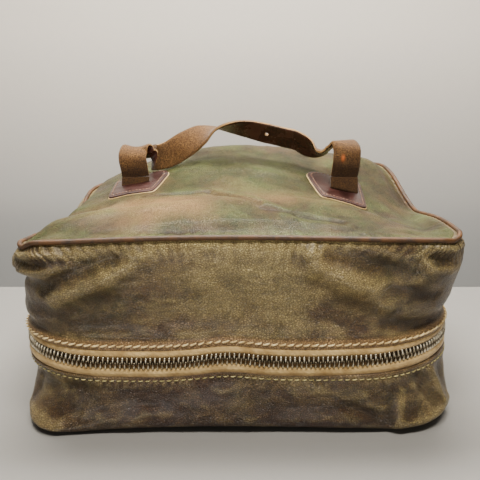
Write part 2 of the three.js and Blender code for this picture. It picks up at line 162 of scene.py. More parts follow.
# ------------------------------------------------------------------ folds: ridges and valleys on the walls
def ridge(a, z, start, end, width, height):
    """A rounded ridge, or a valley if height is negative, along the line from start to end."""
    (a0, z0), (a1, z1) = start, end
    da, dz = a1 - a0, z1 - z0
    length = math.hypot(da, dz)
    t = np.clip(((a - a0) * da + (z - z0) * dz) / length**2, 0, 1)
    gap = np.hypot(a - a0 - t * da, z - z0 - t * dz)
    return height * np.exp(-((gap / width) ** 2)) * (0.55 + 0.45 * np.sin(math.pi * np.clip(t, 0.05, 0.95)))


# Each fold: its two ends as (distance along the outline, height), its half width and its height.
UPPER_FOLDS = [
    ((-205, 171), (-120, 173), 7, 3.6),
    ((-198, 157), (-145, 162), 6, -1.9),
    ((-185, 150), (-112, 157), 6, 2.2),
    ((-160, 134), (-85, 168), 6, -2.6),
    ((-150, 124), (-95, 146), 9, 3.0),
    ((-95, 146), (-66, 168), 7, 2.2),
    ((-205, 117), (-150, 112), 8, -1.4),
    ((-195, 97), (-90, 106), 7, -1.1),
    ((-60, 92), (-20, 96), 8, 1.0),
    ((45, 180), (52, 160), 6, 2.2),
    ((58, 158), (98, 136), 10, 4.4),
    ((66, 170), (120, 152), 9, -3.4),
    ((112, 140), (165, 128), 7, -2.6),
    ((108, 126), (122, 120), 6, 1.8),
    ((130, 106), (178, 97), 7, -1.3),
    ((118, 179), (172, 177), 5, 2.6),
    ((128, 168), (160, 165), 6, -1.7),
    ((118, 172), (140, 158), 4, 1.6),
    ((140, 158), (190, 152), 6, 1.6),
    ((-20, 160), (10, 120), 12, -1.2),
    ((-40, 158), (-5, 118), 9, 1.0),
    ((240, 160), (330, 120), 12, 2.4),
    ((250, 140), (340, 104), 9, -2.2),
    ((300, 168), (372, 150), 9, 1.8),
    ((-240, 156), (-330, 118), 12, 2.4),
    ((-255, 134), (-345, 102), 9, -2.2),
    ((-300, 166), (-372, 148), 9, 1.8),
]
LOWER_FOLDS = [
    ((180, 56), (192, 22), 4, 3.0),
    ((168, 50), (178, 24), 5, -2.2),
    ((200, 50), (208, 24), 6, -2.0),
    ((140, 8), (205, 16), 8, 4.0),
    ((126, 6), (146, 42), 4, -0.9),
    ((134, 8), (152, 40), 5, 0.8),
    ((-205, 14), (-150, 8), 10, 4.0),
    ((-190, 50), (-200, 24), 7, -1.4),
    ((-130, 30), (-40, 36), 12, -1.4),
    ((20, 26), (90, 30), 12, -1.6),
    ((60, 44), (120, 38), 9, 1.4),
    ((100, 26), (125, 14), 7, -1.8),
    ((250, 24), (330, 34), 12, 1.8),
    ((-250, 26), (-330, 32), 12, 1.8),
    ((270, 44), (360, 40), 8, -1.2),
    ((-270, 44), (-360, 40), 8, -1.2),
]
FOLD_STRENGTH = 1.8  # multiplies the height of every fold
PUCKER_PITCH = 7.4


def fold_field(a, z, folds):
    return FOLD_STRENGTH * sum(ridge(a, z, *fold) for fold in folds)


def puckers(a, seed):
    """Short gathers square to a seam, of uneven spacing and depth."""
    phase = a / PUCKER_PITCH + 0.55 * cloud(a, 0 * a, 22, 2, seed)
    depth = 0.45 + 0.55 * cloud(a, 0 * a, 30, 2, seed + 3)
    return np.sin(2 * math.pi * phase) * np.clip(depth, 0, 1.2)


# ------------------------------------------------------------------ meshes
def make_mesh(name, points, faces, material=None, smooth_faces=True):
    mesh = bpy.data.meshes.new(name)
    mesh.from_pydata((np.asarray(points, float) * MM).tolist(), [], [tuple(map(int, f)) for f in faces])
    mesh.validate()
    mesh.update()
    mesh.shade_smooth() if smooth_faces else mesh.shade_flat()
    made = bpy.data.objects.new(name, mesh)
    bpy.context.scene.collection.objects.link(made)
    if material is not None:
        mesh.materials.append(material)
    return made


def grid_faces(rows, columns, wrap=False):
    """Quads over a grid stored row by row; wrap joins the last row to the first."""
    faces = []
    for i in range(rows if wrap else rows - 1):
        j = (i + 1) % rows
        for k in range(columns - 1):
            near, far = i * columns + k, j * columns + k
            faces.append((near, far, far + 1, near + 1))
    return faces


def ring_faces(rings, count, wrap=False):
    """Quads between rings of points, each ring closed on itself; wrap joins the last ring to the first."""
    faces = []
    for i in range(rings if wrap else rings - 1):
        j = (i + 1) % rings
        for k in range(count):
            m = (k + 1) % count
            faces.append((i * count + k, i * count + m, j * count + m, j * count + k))
    return faces


def paint(piece, name, values):
    """A number for each vertex, which the piece's material reads."""
    layer = piece.data.attributes.new(name, "FLOAT", "POINT")
    layer.data.foreach_set("value", np.asarray(values, np.float32).ravel())


def thicken(piece, thickness, offset=-1.0):
    shell = piece.modifiers.new("thickness", "SOLIDIFY")
    shell.thickness = thickness * MM
    shell.offset = offset
    shell.use_even_offset = False


def place(piece, body, slot, *nodes):
    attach(piece, body)
    if nodes:
        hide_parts(*nodes)
    return piece


def blur(grid, steps):
    for _ in range(steps):
        grid = (np.roll(grid, 1, 0) + np.roll(grid, -1, 0) + 2 * grid) / 4
        inner = grid.copy()
        inner[:, 1:-1] = (grid[:, 2:] + grid[:, :-2] + 2 * grid[:, 1:-1]) / 4
        grid = inner
    return grid


# ------------------------------------------------------------------ materials
def linear(code):
    """A colour written as six hexadecimal digits, as linear red, green, blue and alpha."""
    parts = [int(code[i : i + 2], 16) / 255 for i in (0, 2, 4)]
    return [p / 12.92 if p <= 0.04045 else ((p + 0.055) / 1.055) ** 2.4 for p in parts] + [1.0]


class Look:
    """A material and short ways to add nodes to it. Positions are the piece's own, in metres."""

    def __init__(self, name, **fixed):
        self.material = bpy.data.materials.new(name)
        self.material.use_nodes = True
        self.tree = self.material.node_tree
        self.shader = self.tree.nodes["Principled BSDF"]
        for key, value in fixed.items():
            self.shader.inputs[key.replace("_", " ")].default_value = value
        self.position = self.add("ShaderNodeTexCoord").outputs["Object"]

    def add(self, kind, settings=None, **inputs):
        node = self.tree.nodes.new(kind)
        for key, value in (settings or {}).items():
            setattr(node, key, value)
        for key, value in inputs.items():
            self.feed(node.inputs[key.replace("_", " ")], value)
        return node

    def feed(self, socket, value):
        if isinstance(value, bpy.types.NodeSocket):
            self.tree.links.new(value, socket)
        else:
            socket.default_value = value

    def stretch(self, scale):
        return self.add("ShaderNodeMapping", Vector=self.position, Scale=scale).outputs["Vector"]

    def noise(self, scale, detail=3.0, rough=0.55, twist=0.0, at=None):
        node = self.add("ShaderNodeTexNoise", Scale=scale, Detail=detail, Roughness=rough, Distortion=twist)
        self.feed(node.inputs["Vector"], at or self.position)
        return node.outputs["Fac"]

    def cells(self, scale, at=None):
        node = self.add("ShaderNodeTexVoronoi", {"feature": "DISTANCE_TO_EDGE"}, Scale=scale)
        self.feed(node.inputs["Vector"], at or self.position)
        return node.outputs["Distance"]

    def span(self, value, low, high, to_low=0.0, to_high=1.0):
        node = self.add("ShaderNodeMapRange", {"clamp": True}, Value=value)
        for key, number in (("From Min", low), ("From Max", high), ("To Min", to_low), ("To Max", to_high)):
            node.inputs[key].default_value = number
        return node.outputs["Result"]

    def sum(self, operation, first, second):
        node = self.add("ShaderNodeMath", {"operation": operation})
        self.feed(node.inputs[0], first)
        self.feed(node.inputs[1], second)
        return node.outputs["Value"]

    def blend(self, share, first, second, mode="MIX"):
        node = self.add("ShaderNodeMix", {"data_type": "RGBA", "blend_type": mode})
        self.feed(node.inputs[0], share)
        self.feed(node.inputs[6], first)
        self.feed(node.inputs[7], second)
        return node.outputs[2]

    def darken(self, share, colour, red, green, blue):
        """The colour multiplied by a tint, as far as share says."""
        return self.blend(share, colour, self.blend(1.0, colour, (red, green, blue, 1), "MULTIPLY"))

    def wave(self, direction, at, scale, twist):
        kind = {"bands_direction": direction}
        return self.add("ShaderNodeTexWave", kind, Vector=at, Scale=scale, Distortion=twist).outputs["Fac"]

    def painted(self, name):
        return self.add("ShaderNodeAttribute", {"attribute_name": name}).outputs["Fac"]

    def finish(self, colour, roughness, height=None, depth=0.0005, strength=1.0):
        self.feed(self.shader.inputs["Base Color"], colour)
        self.feed(self.shader.inputs["Roughness"], roughness)
        if height is not None:
            bump = self.add("ShaderNodeBump", Height=height)
            bump.inputs["Distance"].default_value = depth
            bump.inputs["Strength"].default_value = strength
            self.feed(self.shader.inputs["Normal"], bump.outputs["Normal"])
        return self.material


TAN_DYE = "B08A58"


def washed_leather(name, brown, olive, pale, tan, grain=1.7, gloss=0.42, bump=0.9, shine=0.5):
    """Garment-dyed leather: clouds of brown and olive with pebbled grain; paler on seams and fold crests,
    partly wear from rubbing and partly painted highlight, and darker in fold valleys and hollows as painted
    shade.
    """
    look = Look(name, Coat_Weight=0.5 * shine, Coat_Roughness=0.36, Specular_IOR_Level=shine)
    clouds = look.noise(11, 4, 0.55, 0.6)
    patches = look.noise(27, 5, 0.62, 0.9, look.stretch((1, 1, 1.5)))
    mottle = look.noise(130, 4, 0.65, 0.4)
    colour = look.blend(look.span(clouds, 0.36, 0.64), linear(brown), linear(olive))
    colour = look.blend(look.span(patches, 0.48, 0.74, 0, 0.6), colour, linear(pale))
    colour = look.blend(look.span(patches, 0.48, 0.28, 0, 0.5), colour, linear(brown))
    colour = look.blend(look.span(mottle, 0.35, 0.7, 0.0, 0.3), colour, linear(tan))
    # tone, painted per vertex: above zero it paints worn seams and painted highlight pale, below zero it
    # darkens the leather, mostly as painted shade in hollows and fold valleys
    tone = look.painted("tone")
    broken = look.span(mottle, 0.25, 0.6, 0.55, 1.0)
    colour = look.blend(look.sum("MULTIPLY", look.span(tone, 0.0, 1.0), broken), colour, linear(pale))
    colour = look.darken(look.span(tone, 0.0, -1.0, 0, 0.85), colour, 0.42, 0.33, 0.26)
    colour = look.blend(look.span(look.painted("tan"), 0, 1, 0, 0.9), colour, linear(TAN_DYE))
    # crest: paler on fold crests, partly wear and partly painted highlight; darker in fold valleys as painted
    # shade
    crest = look.painted("crest")
    colour = look.blend(look.span(crest, 0.1, 1.0, 0, 0.35), colour, linear(pale))
    colour = look.darken(look.span(crest, -0.1, -1.0, 0, 0.55), colour, 0.4, 0.34, 0.28)
    bent = look.add("ShaderNodeVectorMath", {"operation": "ADD"})
    wander = look.add("ShaderNodeTexNoise", Scale=240.0, Detail=2.0)
    look.feed(wander.inputs["Vector"], look.position)
    scaled = {"operation": "SCALE"}
    drift = look.add("ShaderNodeVectorMath", scaled, Vector=wander.outputs["Color"], Scale=0.0009)
    look.feed(bent.inputs[0], look.stretch((1, 1, 1.35)))
    look.feed(bent.inputs[1], drift.outputs["Vector"])
    pebbles = look.span(look.cells(1000 / grain, bent.outputs["Vector"]), 0.0, 0.22)
    fine = look.noise(1500, 2, 0.6)
    colour = look.darken(look.span(pebbles, 0.0, 0.85, 0.85, 0.0), colour, 0.3, 0.25, 0.2)
    creases = look.noise(95, 4, 0.6, 1.4, look.stretch((1, 1, 2.2)))
    lines = look.span(look.sum("ABSOLUTE", look.sum("SUBTRACT", creases, 0.5), 0.0), 0.0, 0.05)
    height = look.sum("ADD", look.sum("MULTIPLY", pebbles, 0.5), look.sum("MULTIPLY", fine, 0.22))
    height = look.sum("ADD", height, look.sum("MULTIPLY", lines, 0.4))
    worn = look.span(patches, 0.3, 0.7, gloss - 0.05, gloss + 0.12)
    roughness = look.sum("ADD", worn, look.span(pebbles, 0.0, 0.5, 0.12, 0.0))
    return look.finish(colour, roughness, height, 0.0016, bump)


def plain_leather(name, dark, light, gloss=0.45, grain=1.0, bump=0.7):
    look = Look(name)
    clouds = look.noise(60, 4, 0.6, 0.5)
    specks = look.noise(700, 3, 0.7)
    colour = look.blend(look.span(clouds, 0.35, 0.68), linear(dark), linear(light))
    colour = look.blend(look.span(specks, 0.4, 0.65, 0.0, 0.35), colour, linear(light))
    pebbles = look.span(look.cells(1000 / grain), 0.0, 0.25)
    height = look.sum("ADD", look.sum("MULTIPLY", pebbles, 0.5), look.sum("MULTIPLY", specks, 0.4))
    return look.finish(colour, look.span(clouds, 0.3, 0.7, gloss - 0.06, gloss + 0.1), height, 0.0002, bump)


def suede(name, dark, mid, light):
    """The flesh side of leather: matt, flecked, with a short nap."""
    look = Look(name, Sheen_Weight=0.25, Sheen_Roughness=0.5, Specular_IOR_Level=0.2)
    flecks = look.noise(900, 3, 0.75)
    patches = look.noise(130, 4, 0.6, 0.5)
    colour = look.blend(look.span(flecks, 0.38, 0.62), linear(dark), linear(light))
    colour = look.blend(look.span(patches, 0.3, 0.7, 0.15, 0.75), colour, linear(mid))
    colour = look.darken(look.span(look.painted("tone"), 0.0, -1.0, 0, 0.85), colour, 0.3, 0.27, 0.25)
    colour = look.blend(look.span(look.painted("tan"), 0, 1), colour, linear("C0622A"))
    height = look.sum("ADD", flecks, look.sum("MULTIPLY", look.noise(380, 3, 0.7), 0.8))
    return look.finish(colour, 0.92, height, 0.0005, 1.0)


WAVE_BANDS = 20  # bands of the wave texture in one unit at scale 1


def woven(name, dark, light, thread=0.55, slant=1.0):
    """Woven tape or twill: threads crossing at the given pitch in millimetres."""
    look = Look(name, Sheen_Weight=0.2, Sheen_Roughness=0.6, Specular_IOR_Level=0.25)
    turned = look.add("ShaderNodeMapping", Vector=look.position, Rotation=(0.3, 0.2, slant))
    scale = 1000 / thread / WAVE_BANDS
    weft = look.wave("DIAGONAL", turned.outputs["Vector"], scale, 0.6)
    warp = look.wave("Z", look.position, scale, 0.4)
    threads = look.sum("MULTIPLY", weft, warp)
    soil = look.noise(55, 4, 0.6, 0.3)
    colour = look.blend(look.span(soil, 0.3, 0.7), linear(dark), linear(light))
    colour = look.blend(look.span(threads, 0.5, 0.0, 0, 0.3), colour, linear(dark))
    colour = look.darken(look.span(look.painted("tone"), 0.0, -1.0, 0, 0.9), colour, 0.3, 0.22, 0.17)
    height = look.sum("ADD", threads, look.sum("MULTIPLY", look.noise(1100, 2), 0.4))
    return look.finish(colour, 0.88, height, 0.00025, 0.8)


def aged_metal(name, dark, light):
    look = Look(name, Metallic=1.0)
    stains = look.noise(240, 4, 0.65, 0.4)
    scratches = look.noise(900, 3, 0.6, 0.2, look.stretch((1, 1, 0.15)))
    colour = look.blend(look.span(stains, 0.35, 0.62), linear(dark), linear(light))
    # tone darkens the metal; on the zip's teeth it is painted shade where they interlock and where they go
    # into the tape
    colour = look.darken(look.span(look.painted("tone"), 0.0, -1.0), colour, 0.16, 0.13, 0.1)
    polish = look.span(stains, 0.3, 0.7, 0.5, 0.3)
    roughness = look.sum("ADD", polish, look.span(scratches, 0.45, 0.7, 0, 0.1))
    return look.finish(colour, roughness, scratches, 0.00006, 0.5)


def waxed_thread(name, dark, light):
    look = Look(name, Specular_IOR_Level=0.35)
    ply = look.wave("DIAGONAL", look.position, 60.0, 0.5)
    tone_field = look.noise(120, 3, 0.6)
    colour = look.blend(look.span(tone_field, 0.35, 0.65), linear(dark), linear(light))
    colour = look.blend(look.span(ply, 0.6, 0.0, 0, 0.4), colour, linear(dark))
    return look.finish(colour, 0.62, ply, 0.0002, 0.8)


def pressed_board(name):
    look = Look(name, Specular_IOR_Level=0.2)
    fibres = look.noise(420, 4, 0.7, 0.6)
    colour = look.blend(look.span(fibres, 0.35, 0.65), linear("4C3E30"), linear("7A6650"))
    return look.finish(colour, 0.9, fibres, 0.0003, 0.7)


WALL_COLOURS = "482C18", "544C28", "C0AC70", "9A7042"
PANEL_COLOURS = "35281A", "3E4826", "707E46", "7E6036"
WALL = washed_leather("wall_leather", *WALL_COLOURS, grain=2.2, gloss=0.4, bump=1.0, shine=0.55)
PANEL = washed_leather("panel_leather", *PANEL_COLOURS, grain=1.7, gloss=0.5, bump=0.8, shine=0.22)
BASE = washed_leather("base_leather", "1E1710", "222014", "38382A", "3A2E1E")
PIPING = plain_leather("piping_leather", "1E1206", "5E3A12", 0.55)
PATCH = plain_leather("patch_leather", "1E0C0A", "44241E", 0.36, 1.3)
EDGE = plain_leather("raw_leather_edge", "B8935C", "E2C690", 0.6)
GRAIN = plain_leather("strap_leather", "2A1410", "4E2C22", 0.24, 1.2, 0.5)
STRAP_EDGE = plain_leather("strap_edge", "6E5030", "A8834E", 0.7)
SUEDE = suede("strap_suede", "1C120A", "563A20", "926A3A")
TAPE = woven("zip_tape", "8E7040", "D4B67C")
TWILL = woven("lining_cloth", "8A7858", "B8A684", 0.8, 0.7)
METAL = aged_metal("zip_metal", "8C8068", "E6DEC8")
THREAD = waxed_thread("cream_thread", "B89A64", "ECD6A2")
BROWN_THREAD = waxed_thread("brown_thread", "6E5040", "A88870")
DULL_THREAD = waxed_thread("olive_thread", "7E7448", "BCAE78")
BOARD = pressed_board("stiffener_board")


# ------------------------------------------------------------------ the shape of the walls
def left(a, low=120, high=190):
    return smooth(low, high, -a)


def right(a, low=120, high=190):
    return smooth(low, high, a)


def zip_bulge(a):
    """The zip stands out from the leather round the front corners."""
    return 5.5 * bell(a, -205, 80) + 3.0 * bell(a, 200, 80)


# Outset of the walls in millimetres, against per cent of the upper wall or millimetres of the lower one.
UPPER_OUT = [(0, 3), (10, 1.2), (22, -0.6), (38, 0.5), (62, 5), (85, 6.5), (95, 5), (100, 2.5)]
LOWER_OUT = [(0, 0), (3, 5), (9, 8), (20, 8), (32, 6.5), (45, 4), (57, 3)]

# What the left and right walls add to that. These four tables weren't chosen by hand: a separate program
# fitted them to the outline of the photographed bag, and only some of their values were changed afterwards.
LEFT_UP = [(0, 1.2), (12, 4.3), (25, 7.2), (40, 3.4), (55, -0.8), (68, -5), (80, 3.0), (90, -0.5), (100, -4)]
RIGHT_UP = [(0, 1.2), (12, 0.0), (25, 2.1), (40, 1.7), (55, 0.1), (68, 0.2), (80, 0.3), (90, 0), (100, -3)]
LEFT_LOW = [(0, -1), (5, -2.5), (12, -3), (25, -3), (40, -1.8), (57, 1.6)]
RIGHT_LOW = [(0, -3), (5, -2.5), (12, -1), (25, 0), (40, 1.1), (57, 2.1)]


def upper_out(a, s):
    """Outset of the wall above the zip, s per cent of the way up."""
    sides = left(a) * curve(LEFT_UP, s) + right(a) * curve(RIGHT_UP, s)
    rear = smooth(300, SEAM, np.abs(a))
    return curve(UPPER_OUT, s) + sides * (1 - 0.6 * rear) + zip_bulge(a) * smooth(16, 0, s)


def lower_out(a, s):
    """Outset of the wall below the zip, s millimetres above its lower edge."""
    swell = left(a, 90, 160) * curve(LEFT_LOW, s) + right(a, 70, 150) * curve(RIGHT_LOW, s)
    rear = smooth(260, 360, np.abs(a))
    tuck = (9 * bell(a, -150, 40) + 3 * bell(a, 140, 35)) * smooth(16, 2, s)
    return curve(LOWER_OUT, s) + swell * (1 - 0.8 * rear) + tuck + zip_bulge(a) * smooth(40, 57, s)


def top_line(a, y):
    """Height of the seam round the top."""
    z = np.maximum(top_edge(y), np.where(a > 0, 175 + 30 * smooth(322, 400, a), 0))
    z -= 12 * bell(a, -268, 50)
    z += -9 * bell(a, -186, 40) - 1.5 * bell(a, -115, 35) + 2.5 * bell(a, 0, 80) - 2.5 * bell(a, 176, 30)
    z += -9 * bell(a, -357, 55) - 3 * bell(a, 345, 50)
    return z - 24 * bell(a, -448, 36) - 10 * bell(a, -500, 42) - 8 * bell(a, 456, 34)


def radius_up(a, s):
    """The front corners are tighter towards the top."""
    share = curve([(0, 1), (12, 0.75), (30, 0.45), (60, 0.2), (100, 0)], s)
    return 40 + (zip_radius(a) - 40) * share - 14 * smooth(84, 100, s)


def radius_down(a, s):
    """The front corners are tightest where they stand on the ground."""
    foot = np.where(a < 0, 56.0, 68.0)
    return foot + (zip_radius(a) - foot) * curve([(0, 0), (12, 0.1), (30, 0.5), (57, 1)], s)


def taper(x, y, rise):
    """The top is drawn in along its sides, on the right more and more towards the back."""
    back = (y + HALF_Y) / (2 * HALF_Y)
    share = np.where(x > 0, 0.015 + 0.25 * back**2, 0.09 * smooth(0.0, 0.5, back))
    return x * (1 - share * rise)


def upper_point(a, s, extra=0.0):
    """A point of the upper wall: a along the outline, s from 0 at the zip's edge to 100 at the top seam."""
    x, y, nx, ny = outline(a, upper_out(a, s) + extra, radius_up(a, s), 60 + 4 * s / 100)
    low = ZIP_Z + OPEN_UP + zip_wave(a)
    z = low + (top_line(a, y) - low) * s / 100
    return np.stack([taper(x, y, (s / 100) ** 3), y, z], -1), np.stack([nx, ny, 0 * nx], -1)


def lower_point(a, s, extra=0.0):
    """A point of the lower wall, s millimetres above its lower edge, which lifts off the ground in front."""
    x, y, nx, ny = outline(a, lower_out(a, s) + extra, radius_down(a, s), 56)
    top = ZIP_Z - OPEN_DOWN + zip_wave(a)
    lift = 1.2 + 2.6 * bell(a, -5, 95) * smooth(20, 0, s)
    z = lift + (top - 1.2) * s / 57
    return np.stack([x, y, z], -1), np.stack([nx, ny, 0 * nx], -1)


def wrinkles(points, seed, strength):
    """Irregular creasing, longer along the wall than up it."""
    stretched = points * np.array([1.0, 1.0, 1.8])
    broad = fractal(stretched, 46, 3, seed)
    ridged = 0.5 - np.abs(fractal(stretched, 30, 4, seed + 5))
    return strength * (1.1 * broad + 0.9 * ridged)


def fold_wear_and_shading(moved):
    """How far each point of a sheet stands above its surroundings: the crest value, which the leather paints
    paler on crests (partly wear, partly painted highlight) and darker in valleys (painted shade).
    """
    return np.clip((moved - blur(moved, 10)) / 0.55, -1.2, 1.2)


def wall_sheet(a_line, s_line, point, folds, edge_rows, seed, tones, tan, gather, rim):
    """A leather wall: points moved out and in by its folds, gathers and rim, and its painted values."""
    a, s = np.meshgrid(a_line, s_line, indexing="ij")
    base, normal = point(a, s)
    z = base[..., 2]
    hold = smooth(0, edge_rows[0], s - s_line[0]) * smooth(0, edge_rows[1], s_line[-1] - s)
    moved = fold_field(a, z, folds) + wrinkles(base.reshape(-1, 3), seed, 1.0).reshape(a.shape)
    moved = moved * hold + puckers(a.ravel(), seed).reshape(a.shape) * gather(s)
    points = base + normal * (moved + rim(s))[..., None]
    return points, normal, fold_wear_and_shading(moved), tones(a, s, z), tan(s)


def turned_edges(points, normal, low_turn, high_turn):
    """Adds rows that roll the lower and upper edges inwards; each turn is a list of (inwards, up) steps."""
    up = np.array([0, 0, 1.0])
    low = [points[:, :1] - normal[:, :1] * i + up * z for i, z in low_turn]
    high = [points[:, -1:] - normal[:, -1:] * i + up * z for i, z in high_turn]
    return np.concatenate(low[::-1] + [points] + high, 1)


def pad_rows(grid, low, high):
    return np.concatenate([np.repeat(grid[:, :1], low, 1), grid, np.repeat(grid[:, -1:], high, 1)], 1)


LOW_TURN = [(0.5, -0.7), (1.5, -1.0), (3.2, -0.4), (4.6, 0.6)]
HIGH_TURN = [(0.6, 0.9), (1.6, 1.5), (3.4, 1.6), (5.0, 1.2)]
LOWER_TOP_TURN = [(0.5, 0.7), (1.5, 1.0), (3.2, 0.4), (4.6, -0.6)]
FOOT_TURN = [(0.8, -0.2), (2.0, 0.2)]


def leather_sheet(name, material, points, normal, crest, tone, tan, low_turn=LOW_TURN, high_turn=HIGH_TURN):
    whole = turned_edges(points, normal, low_turn, high_turn)
    rows, columns = whole.shape[:2]
    piece = make_mesh(name, whole.reshape(-1, 3), grid_faces(rows, columns), material)
    for key, grid in (("crest", crest), ("tone", tone), ("tan", tan)):
        paint(piece, key, pad_rows(grid, len(low_turn), len(high_turn)))
    thicken(piece, LEATHER)
    return piece


def upper_tones(a, s, z):
    """Pale where rubbing has worn the top seam, and as painted highlight on the bulges; painted shade, dark,
    in the hollows by the zip and in the fold valleys, and darker towards the front corners.
    """
    rubbed_and_highlight = 0.75 * smooth(80, 100, s) * bell(a, 0, 120) + 0.55 * bell(a, 5, 75) * bell(s, 78, 26)
    rubbed_and_highlight += 0.35 * bell(a, 78, 28) * bell(s, 62, 18) + 0.3 * bell(a, -8, 50) * bell(s, 30, 30)
    # dark: painted shade in the hollows by the zip and in the valleys beside the bulges, and darker towards
    # the front corners
    dark = 0.45 * bell(a, -115, 55) * bell(s, 22, 14) + 0.5 * bell(a, 95, 34) * bell(s, 84, 14)
    dark += 0.55 * bell(a, 142, 26) * bell(s, 45, 16) + 0.5 * bell(a, -150, 40) * bell(s, 70, 10)
    dark += 0.35 * smooth(14, 5, s) + 0.35 * bell(a, 150, 40) * bell(s, 18, 10)
    dark += 0.45 * bell(a, -170, 55) * bell(s, 38, 34) + 0.45 * bell(a, 172, 50) * bell(s, 42, 34)
    rubbed_and_highlight += 0.3 * bell(a, 15, 85) * bell(s, 52, 40)
    return np.clip(rubbed_and_highlight - dark + 0.35 * cloud(a, z * 1.6, 34, 3, 41), -1, 1)


def lower_tones(a, s, z):
    """Painted shade, dark, below the zip, along the foot and in a hollow at the left; paler at the bulging
    front corners as painted highlight.
    """
    dark = 0.6 * smooth(16, 0, s) * (1 - 0.8 * bell(np.abs(a), 175, 40))
    dark += 0.25 * bell(a, -60, 90) * bell(s, 22, 16)
    dark += 0.75 * (1 - 0.9 * bell(np.abs(a), 190, 45)) * smooth(56, 42, s)
    pale = 0.3 * bell(a, -180, 30) * bell(s, 12, 12) + 0.35 * bell(a, 170, 40) * bell(s, 20, 16)
    pale += 0.3 * bell(a, 60, 60) * smooth(40, 54, s)
    return np.clip(pale - dark + 0.35 * cloud(a, z * 1.6, 34, 3, 57) - 0.1, -1, 1)


def upper_gather(s):
    return 0.9 * (bell(s, 96, 9) + 0.4 * bell(s, 84, 9))


def upper_rim(s):
    """A low welt under the stitches beside the zip, with a groove above it."""
    return 0.9 * bell(s, 4.5, 4.0) - 0.8 * bell(s, 10.5, 1.6)


def upper_tan(s):
    return 0.8 * smooth(9.5, 7, s)


def lower_gather(s):
    return 0.35 * bell(s, 49, 5)


def lower_rim(s):
    return -0.5 * bell(s, 53.2, 1.3)


def lower_tan(s):
    return 0.3 * smooth(54.5, 56.5, s)


def wall_pieces():
    a_line = np.linspace(-SEAM + 0.5, SEAM - 0.5, 470)
    sheet = wall_sheet(
        a_line, np.linspace(0, 100, 58), upper_point, UPPER_FOLDS, (14, 10), 1.0,
        upper_tones, upper_tan, upper_gather, upper_rim,
    )
    piece = leather_sheet("upper_wall_leather", WALL, *sheet)
    place(piece, "lid", "wall_leather", "upper_front_wall")
    sheet = wall_sheet(
        a_line, np.linspace(0, 57, 36), lower_point, LOWER_FOLDS, (8, 9), 2.0,
        lower_tones, lower_tan, lower_gather, lower_rim,
    )
    piece = leather_sheet("lower_wall_leather", WALL, *sheet, FOOT_TURN, LOWER_TOP_TURN)
    place(piece, "tray", "wall_leather", "lower_front_wall")


def gusset():
    """The back wall and its returns round the rear corners: one skin, creased along the line where the lid
    folds.
    """
    a_line = np.linspace(SEAM + 0.5, 2 * BACK_END - SEAM - 0.5, 250)
    low_s = np.linspace(0, 57, 30)
    high_s = np.linspace(0, 100, 50)
    low, low_normal = lower_point(*np.meshgrid(wrapped(a_line), low_s, indexing="ij"))
    high, high_normal = upper_point(*np.meshgrid(wrapped(a_line), high_s, indexing="ij"))
    between = np.linspace(0, 1, 14)[1:-1]
    bridge = low[:, -1:] + (high[:, :1] - low[:, -1:]) * between[None, :, None]
    bridge_normal = np.repeat(low_normal[:, -1:], len(between), 1)
    base = np.concatenate([low, bridge, high], 1)
    normal = np.concatenate([low_normal, bridge_normal, high_normal], 1)
    z = base[..., 2]
    flat = base.reshape(-1, 3)
    rim = smooth(2, 14, z) * smooth(0, 12, z[:, -1:] - z)
    moved = wrinkles(flat, 3.0, 1.3).reshape(z.shape) * rim
    across = np.broadcast_to(a_line[:, None], z.shape)
    fold = ZIP_Z + 2.5 * cloud(a_line, 0 * a_line, 60, 2, 8.0)[:, None]
    moved -= 1.6 * bell(z, fold, 3.0) - 1.1 * bell(z, fold + 8, 5) - 0.9 * bell(z, fold - 8, 5)
    side_sag = bell(across, 520, 60) + bell(across, 2 * BACK_END - 520, 60)
    moved += 2.4 * side_sag * bell(z, 120, 26) - 1.6 * side_sag * bell(z, 150, 12)
    moved += 2.0 * bell(across, BACK_END, 110) * bell(z, 150, 30)
    moved += 0.6 * puckers(across.ravel(), 4.0).reshape(z.shape) * bell(z[:, -1:] - z, 3, 8)
    # tone: random clouds, lighter along the top seam and darker towards the ground, as painted shade at the
    # foot
    tone = 0.4 * cloud(across, z * 1.6, 38, 3, 77) + 0.5 * bell(z[:, -1:] - z, 0, 12) - 0.4 * smooth(16, 0, z)
    points = base + normal * moved[..., None]
    values = fold_wear_and_shading(moved), np.clip(tone, -1, 1), 0 * z
    piece = leather_sheet("back_gusset", WALL, points, normal, *values, FOOT_TURN)
    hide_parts("lower_back_wall", "upper_back_wall")
    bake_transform(piece)
    return piece


# ------------------------------------------------------------------ things that run along a line
def unit(vectors):
    return vectors / np.linalg.norm(vectors, axis=-1, keepdims=True)


def frames_along(points, normals, closed=False):
    """Along, outward and upward directions at each point of a line."""
    ahead = np.roll(points, -1, 0) if closed else np.concatenate([points[1:], points[-1:]])
    behind = np.roll(points, 1, 0) if closed else np.concatenate([points[:1], points[:-1]])
    along = unit(ahead - behind)
    out = unit(normals - along * np.sum(normals * along, -1, keepdims=True))
    return along, out, np.cross(out, along) * -1.0


def even_steps(points, normals, pitch, start=0.0):
    """Points a fixed distance apart along a line, with their normals."""
    walked = distance_walked(points)
    places = np.arange(start, walked[-1], pitch)
    return along_line(places, walked, points), unit(along_line(places, walked, normals))


def sweep(name, points, normals, section, material, closed=False):
    """A solid with the given (outward, upward) section swept along a line."""
    _, out, up = frames_along(points, normals, closed)
    section = np.asarray(section, float)
    rings = points[:, None] + out[:, None] * section[None, :, :1] + up[:, None] * section[None, :, 1:]
    rows, columns = rings.shape[:2]
    faces = ring_faces(rows, columns, closed)
    if not closed:
        faces.append(tuple(range(columns))[::-1])
        faces.append(tuple((rows - 1) * columns + k for k in range(columns)))
    piece = make_mesh(name, rings.reshape(-1, 3), faces, material)
    return face_outwards(piece)


